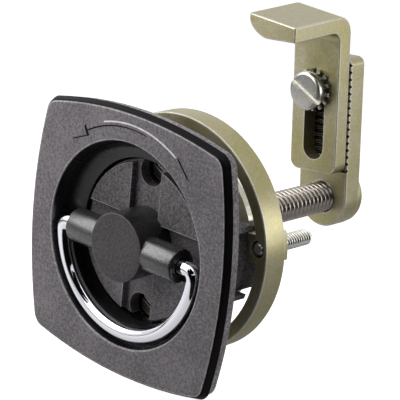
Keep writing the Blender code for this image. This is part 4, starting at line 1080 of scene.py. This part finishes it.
class LATCH_OT_cam(bpy.types.Operator):
    """Build the serrated cam arm and the hook bar that slides on it"""

    bl_idname = "latch.cam"
    bl_label = "Cam Arm and Hook"

    def execute(self, context):
        self.build_arm()
        self.build_hook()
        return {"FINISHED"}

    def build_arm(self):
        """Build the arm with its round foot, boss, bore and serrated front."""
        half, shoulder, corner = ARM_HALF_WIDTH, 41.2, 2.4
        shape = prism((-half, 0.0), [
            (0.0, 0.0, 180.0, 32), (half, shoulder), (half - corner, shoulder, 90.0, 8),
            (corner - half, shoulder + corner), (corner - half, shoulder, 90.0, 8),
        ], ARM_FRONT - 0.22, ARM_FRONT + 6.4, 0.6, 3)
        piece = add_piece("arm", shape, "yellow_chromate")
        boss = spun([(0.0, 81.0), (9.0, 81.0), (9.0, 86.6), (8.75, 87.2), (8.1, 87.5), (0.0, 87.5)], 72)
        boolean(piece, [boss], "UNION")
        # The arm's rounded edges get a painted highlight.
        paint_edge_highlights(piece, "painted_highlight_chromate", 0.34)
        holes = [drill(4.95, 70.0, 90.0, steps=56), drill(3.3, 70.0, 90.0, (0.0, SCREW_HEIGHT))]
        boolean(piece, [*holes, self.saw()], smooth=28.0)
        self.paint_shade_on_serrations(piece)
        fit_out(even_normals(lean(piece)), "turning", "yellow_zinc", "cam_arm")

    def saw(self):
        """Return the waste in front of the arm's serrations."""
        skin = ARM_FRONT - 0.19
        points = [(ARM_FRONT - 1.0, 7.2), (skin, 7.2)]
        for index in range(16):
            height = 9.34 + 2.14 * index
            points += [(skin, height - 0.62), (ARM_FRONT + 0.75, height), (skin, height + 0.62)]
        points += [(skin, 43.0), (ARM_FRONT - 1.0, 43.0)]
        side = 12.0
        return close_and_pull(strung([(-side, *point) for point in points]), (2 * side, 0.0, 0.0))

    def paint_shade_on_serrations(self, piece):
        """Paint shade on the middle of the serrated front, seen through the hook's slot, with a dark finish.
        """
        half = 5.0
        shape = bmesh.new()
        shape.from_mesh(piece.data)
        for place in (-half, half):
            bmesh.ops.bisect_plane(
                shape, geom=shape.verts[:] + shape.edges[:] + shape.faces[:], dist=0.0000001,
                plane_co=(place * MM, 0.0, 0.0), plane_no=AXIS_X,
            )
        shape.to_mesh(piece.data)
        shape.free()
        paint(piece, "painted_shade_zinc", lambda face, centre: (
            centre.y < ARM_FRONT + 0.8 and abs(centre.x) < half and centre.z > 8.8 and face.normal.y < -0.1
        ))

    def build_hook(self):
        """Build the hook bar from its side outline, with its rounded lead-in and its slot."""
        foot, bend, top, tip, fillet, under = 8.6, 5.0, 58.75, 53.2, 3.0, 51.7
        shape = bmesh.new()
        trace(shape, (HOOK_FRONT, foot), [
            (HOOK_BACK, foot), (HOOK_BACK, top - bend), (HOOK_BACK - bend, top - bend, 90.0, 10), (tip, top),
            (tip, under), (HOOK_FRONT - fillet, under), (HOOK_FRONT - fillet, under - fillet, -90.0, 8),
        ], aside=-HOOK_HALF_WIDTH)
        close_and_pull(shape, (2 * HOOK_HALF_WIDTH, 0.0, 0.0))
        self.slant_leg(shape)
        bmesh.ops.recalc_face_normals(shape, faces=shape.faces)
        piece = add_piece("hook", round_edges(shape, 0.45, 3), "yellow_chromate")
        # The hook's rounded edges get a painted highlight.
        paint_edge_highlights(piece, "painted_highlight_chromate", 0.3)
        half, low, high = 3.8, 16.2, 34.7
        path = [(0.0, low, 180.0, 16), (half, high), (0.0, high, 180.0, 16)]
        slot = prism((-half, low), path, 60.0, 90.0)
        boolean(piece, [slot, self.lead_tool(), *self.foot_tools()], smooth=28.0)
        fit_out(even_normals(lean(piece)), "hook", "yellow_zinc", "hook_bar")

    def slant_leg(self, shape):
        """Let the leg's top fall to the right and the whole leg droop a little to its tip."""
        fall = Matrix.Identity(4)
        fall[2][0] = -2.5 / (2 * HOOK_HALF_WIDTH)
        side = Matrix.Translation(AXIS_X * HOOK_HALF_WIDTH * MM)
        top = [vert for vert in shape.verts if vert.co.z > 52.5 * MM]
        bmesh.ops.transform(shape, matrix=fall, space=side, verts=top)
        droop = Matrix.Identity(4)
        droop[2][1] = 1.2 / 20.4
        front = Matrix.Translation(-AXIS_Y * HOOK_FRONT * MM)
        leg = [vert for vert in shape.verts if vert.co.z > 48.5 * MM and vert.co.y < HOOK_FRONT * MM]
        bmesh.ops.transform(shape, matrix=droop, space=front, verts=leg)

    def lead_tool(self):
        """Return the waste below the rounded lead-in on the leg's left edge."""
        width, height, top, steps = 9.0, 6.6, 57.0, 16
        end = width - HOOK_HALF_WIDTH
        front, back, left, bottom = 50.0, 70.0, -14.0, 45.0
        points = []
        for step in range(steps + 1):
            cosine, sine = round_point(1.0, 180.0 + 90.0 * step / steps)
            points.append((end + width * cosine, front, top + height * sine))
        points += [(end, front, bottom), (left, front, bottom), (left, front, top)]
        return close_and_pull(strung(points), (0.0, back - front, 0.0))

    def foot_tools(self):
        """Return the waste outside the two rounded corners at the bar's foot."""
        start = (-HOOK_HALF_WIDTH, 12.0)
        path = [(-5.4, 12.0, 90.0, 10), (-5.4, 7.0), (-10.0, 7.0), (-10.0, 12.0)]
        return [mirrored(prism(start, path, 70.0, 82.0), sign) for sign in (1, -1)]


# Stage


class LATCH_OT_stage(bpy.types.Operator):
    """Set the floor, the light, the background and the camera"""

    bl_idname = "latch.stage"
    bl_label = "Stage"

    def execute(self, context):
        self.build_floor()
        self.build_card()
        self.build_lights()
        self.build_world()
        self.build_camera()
        context.scene.view_settings.view_transform = "Standard"
        return {"FINISHED"}

    def build_floor(self):
        """Build a wide pale floor below the latch, lifted to white where the camera sees it."""
        tree, shader = start_material(
            "pale_floor", Base_Color=(0.80, 0.80, 0.80, 1.0), Emission_Color=(1.0, 1.0, 1.0, 1.0),
            Roughness=0.8, Specular_IOR_Level=0.1,
        )
        seen = value_of(tree, "LightPath", output="Is Camera Ray")
        feed(tree, shader["Emission Strength"], value_of(tree, "Math", seen, 0.80, operation="MULTIPLY"))
        shape = bmesh.new()
        bmesh.ops.create_grid(shape, x_segments=1, y_segments=1, size=4.0)
        bmesh.ops.translate(shape, vec=(0.0, 0.0, -0.0500), verts=shape.verts)
        floor = add_piece("floor", shape, "pale_floor")

    def build_card(self):
        """Stand a black card with a roof beside the camera, that only shows in reflections."""
        black = (0.01, 0.01, 0.01, 1.0)
        start_material("black_card", Base_Color=black, Roughness=0.9, Specular_IOR_Level=0.0)
        shape = bmesh.new()
        foot = [
            shape.verts.new((x, y, -0.049))
            for x, y in ((0.06, -0.03), (0.75, 0.30), (0.45, -1.05), (-0.10, -0.40))
        ]
        shape.faces.new(foot)
        low = [shape.edges.get(pair) for pair in zip(foot[1:], foot[2:])]
        wall = bmesh.ops.extrude_edge_only(shape, edges=low)["geom"]
        high = [item for item in wall if isinstance(item, bmesh.types.BMVert)]
        bmesh.ops.translate(shape, vec=(0.0, 0.0, 0.45), verts=high)
        roof = ((0.03, -0.19), (0.45, -0.19), (0.45, -0.85), (0.03, -0.85))
        shape.faces.new([shape.verts.new((x, y, 0.42)) for x, y in roof])
        card = add_piece("black_card", shape, "black_card")
        card.visible_camera = False
        card.visible_diffuse = False
        card.visible_transmission = False
        card.visible_shadow = False

    def build_lights(self):
        """Light the latch with soft boxes: above, from the left front and from the right."""
        lamps = {
            "top_box": ((0.10, 0.0, 0.75), (0.0, 0.03, 0.0), 0.7, 1.6),
            "left_box": ((-0.13, -0.13, 0.15), (-0.02, 0.0, 0.03), 0.24, 0.79),
            "right_box": ((0.62, 0.48, 0.08), (0.0, 0.04, 0.0), 0.40, 1.6),
        }
        for name, (place, target, size, power) in lamps.items():
            data = bpy.data.lights.new(name, "AREA")
            data.shape = "SQUARE"
            data.size = size
            data.energy = power
            lamp = bpy.data.objects.new(name, data)
            lamp.location = place
            aim = Vector(target) - Vector(place)
            lamp.rotation_euler = aim.to_track_quat("-Z", "Y").to_euler()
            bpy.context.scene.collection.objects.link(lamp)

    def build_world(self):
        """Give the camera, mirrors and glass a white background and the object a plain fill."""
        world = bpy.data.worlds.new("studio")
        bpy.context.scene.world = world
        world.use_nodes = True
        tree = world.node_tree
        shown = tree.nodes["Background"]
        shown.inputs["Color"].default_value = (1.0, 1.0, 1.0, 1.0)
        shown.inputs["Strength"].default_value = 1.0
        fill = value_of(tree, "Background", Color=(0.95, 0.96, 1.0, 1.0), Strength=0.14)
        rays = add_node(tree, "LightPath").outputs
        plain = value_of(tree, "Math", rays["Is Camera Ray"], rays["Is Glossy Ray"], operation="MAXIMUM")
        share = value_of(tree, "Math", plain, rays["Is Transmission Ray"], operation="MAXIMUM")
        mixed = value_of(tree, "MixShader", share, fill, shown.outputs[0])
        feed(tree, tree.nodes["World Output"].inputs["Surface"], mixed)

    def build_camera(self):
        """Set the camera where the photograph was taken from."""
        data = bpy.data.cameras.new("photo_camera")
        data.lens = 164.65
        data.sensor_width = 36.0
        data.shift_x = 0.0106
        data.shift_y = 0.0250
        data.clip_start = 0.01
        camera = bpy.data.objects.new("photo_camera", data)
        right = Vector((0.71594, 0.69267, 0.08735))
        up = Vector((-0.27576, 0.16563, 0.94685))
        back = right.cross(up)
        turn = Matrix((right, up, back)).transposed().to_4x4()
        camera.matrix_world = Matrix.Translation((0.33042, -0.33888, 0.16492)) @ turn
        bpy.context.scene.collection.objects.link(camera)
        bpy.context.scene.camera = camera


class LATCH_PT_panel(bpy.types.Panel):
    """Panel of the latch's operators and sizes"""

    bl_idname = "LATCH_PT_panel"
    bl_label = "Flush Pull Latch"
    bl_space_type = "VIEW_3D"
    bl_region_type = "UI"
    bl_category = "Flush Latch"

    def draw(self, context):
        layout = self.layout
        for name in ("bezel_width", "dish_radius", "ring_bar_radius", "thread_pitch", "arm_lean"):
            layout.prop(context.scene.latch_sizes, name)
        for name in ("plastic", "chromate", "steel"):
            layout.prop(context.scene.latch_colours, name)
        for operator in OPERATORS:
            layout.operator(operator.bl_idname)


OPERATORS = (
    LATCH_OT_bezel, LATCH_OT_handle, LATCH_OT_pull_ring, LATCH_OT_spindle, LATCH_OT_screws,
    LATCH_OT_clamp_ring, LATCH_OT_cam, LATCH_OT_stage,
)
CLASSES = (LatchSizes, LatchColours, *OPERATORS, LATCH_PT_panel)


def register():
    """Register the classes and hang the property groups on the scene."""
    for item in CLASSES:
        bpy.utils.register_class(item)
    bpy.types.Scene.latch_sizes = bpy.props.PointerProperty(type=LatchSizes)
    bpy.types.Scene.latch_colours = bpy.props.PointerProperty(type=LatchColours)


def unregister():
    """Take the property groups off the scene and unregister the classes."""
    del bpy.types.Scene.latch_colours
    del bpy.types.Scene.latch_sizes
    for item in reversed(CLASSES):
        bpy.utils.unregister_class(item)


def main():
    """Build the latch and its stage."""
    register()
    bpy.ops.latch.bezel()
    bpy.ops.latch.handle()
    bpy.ops.latch.pull_ring()
    bpy.ops.latch.spindle()
    bpy.ops.latch.screws()
    bpy.ops.latch.clamp_ring()
    bpy.ops.latch.cam()
    bpy.ops.latch.stage()


if __name__ == "__main__":
    main()
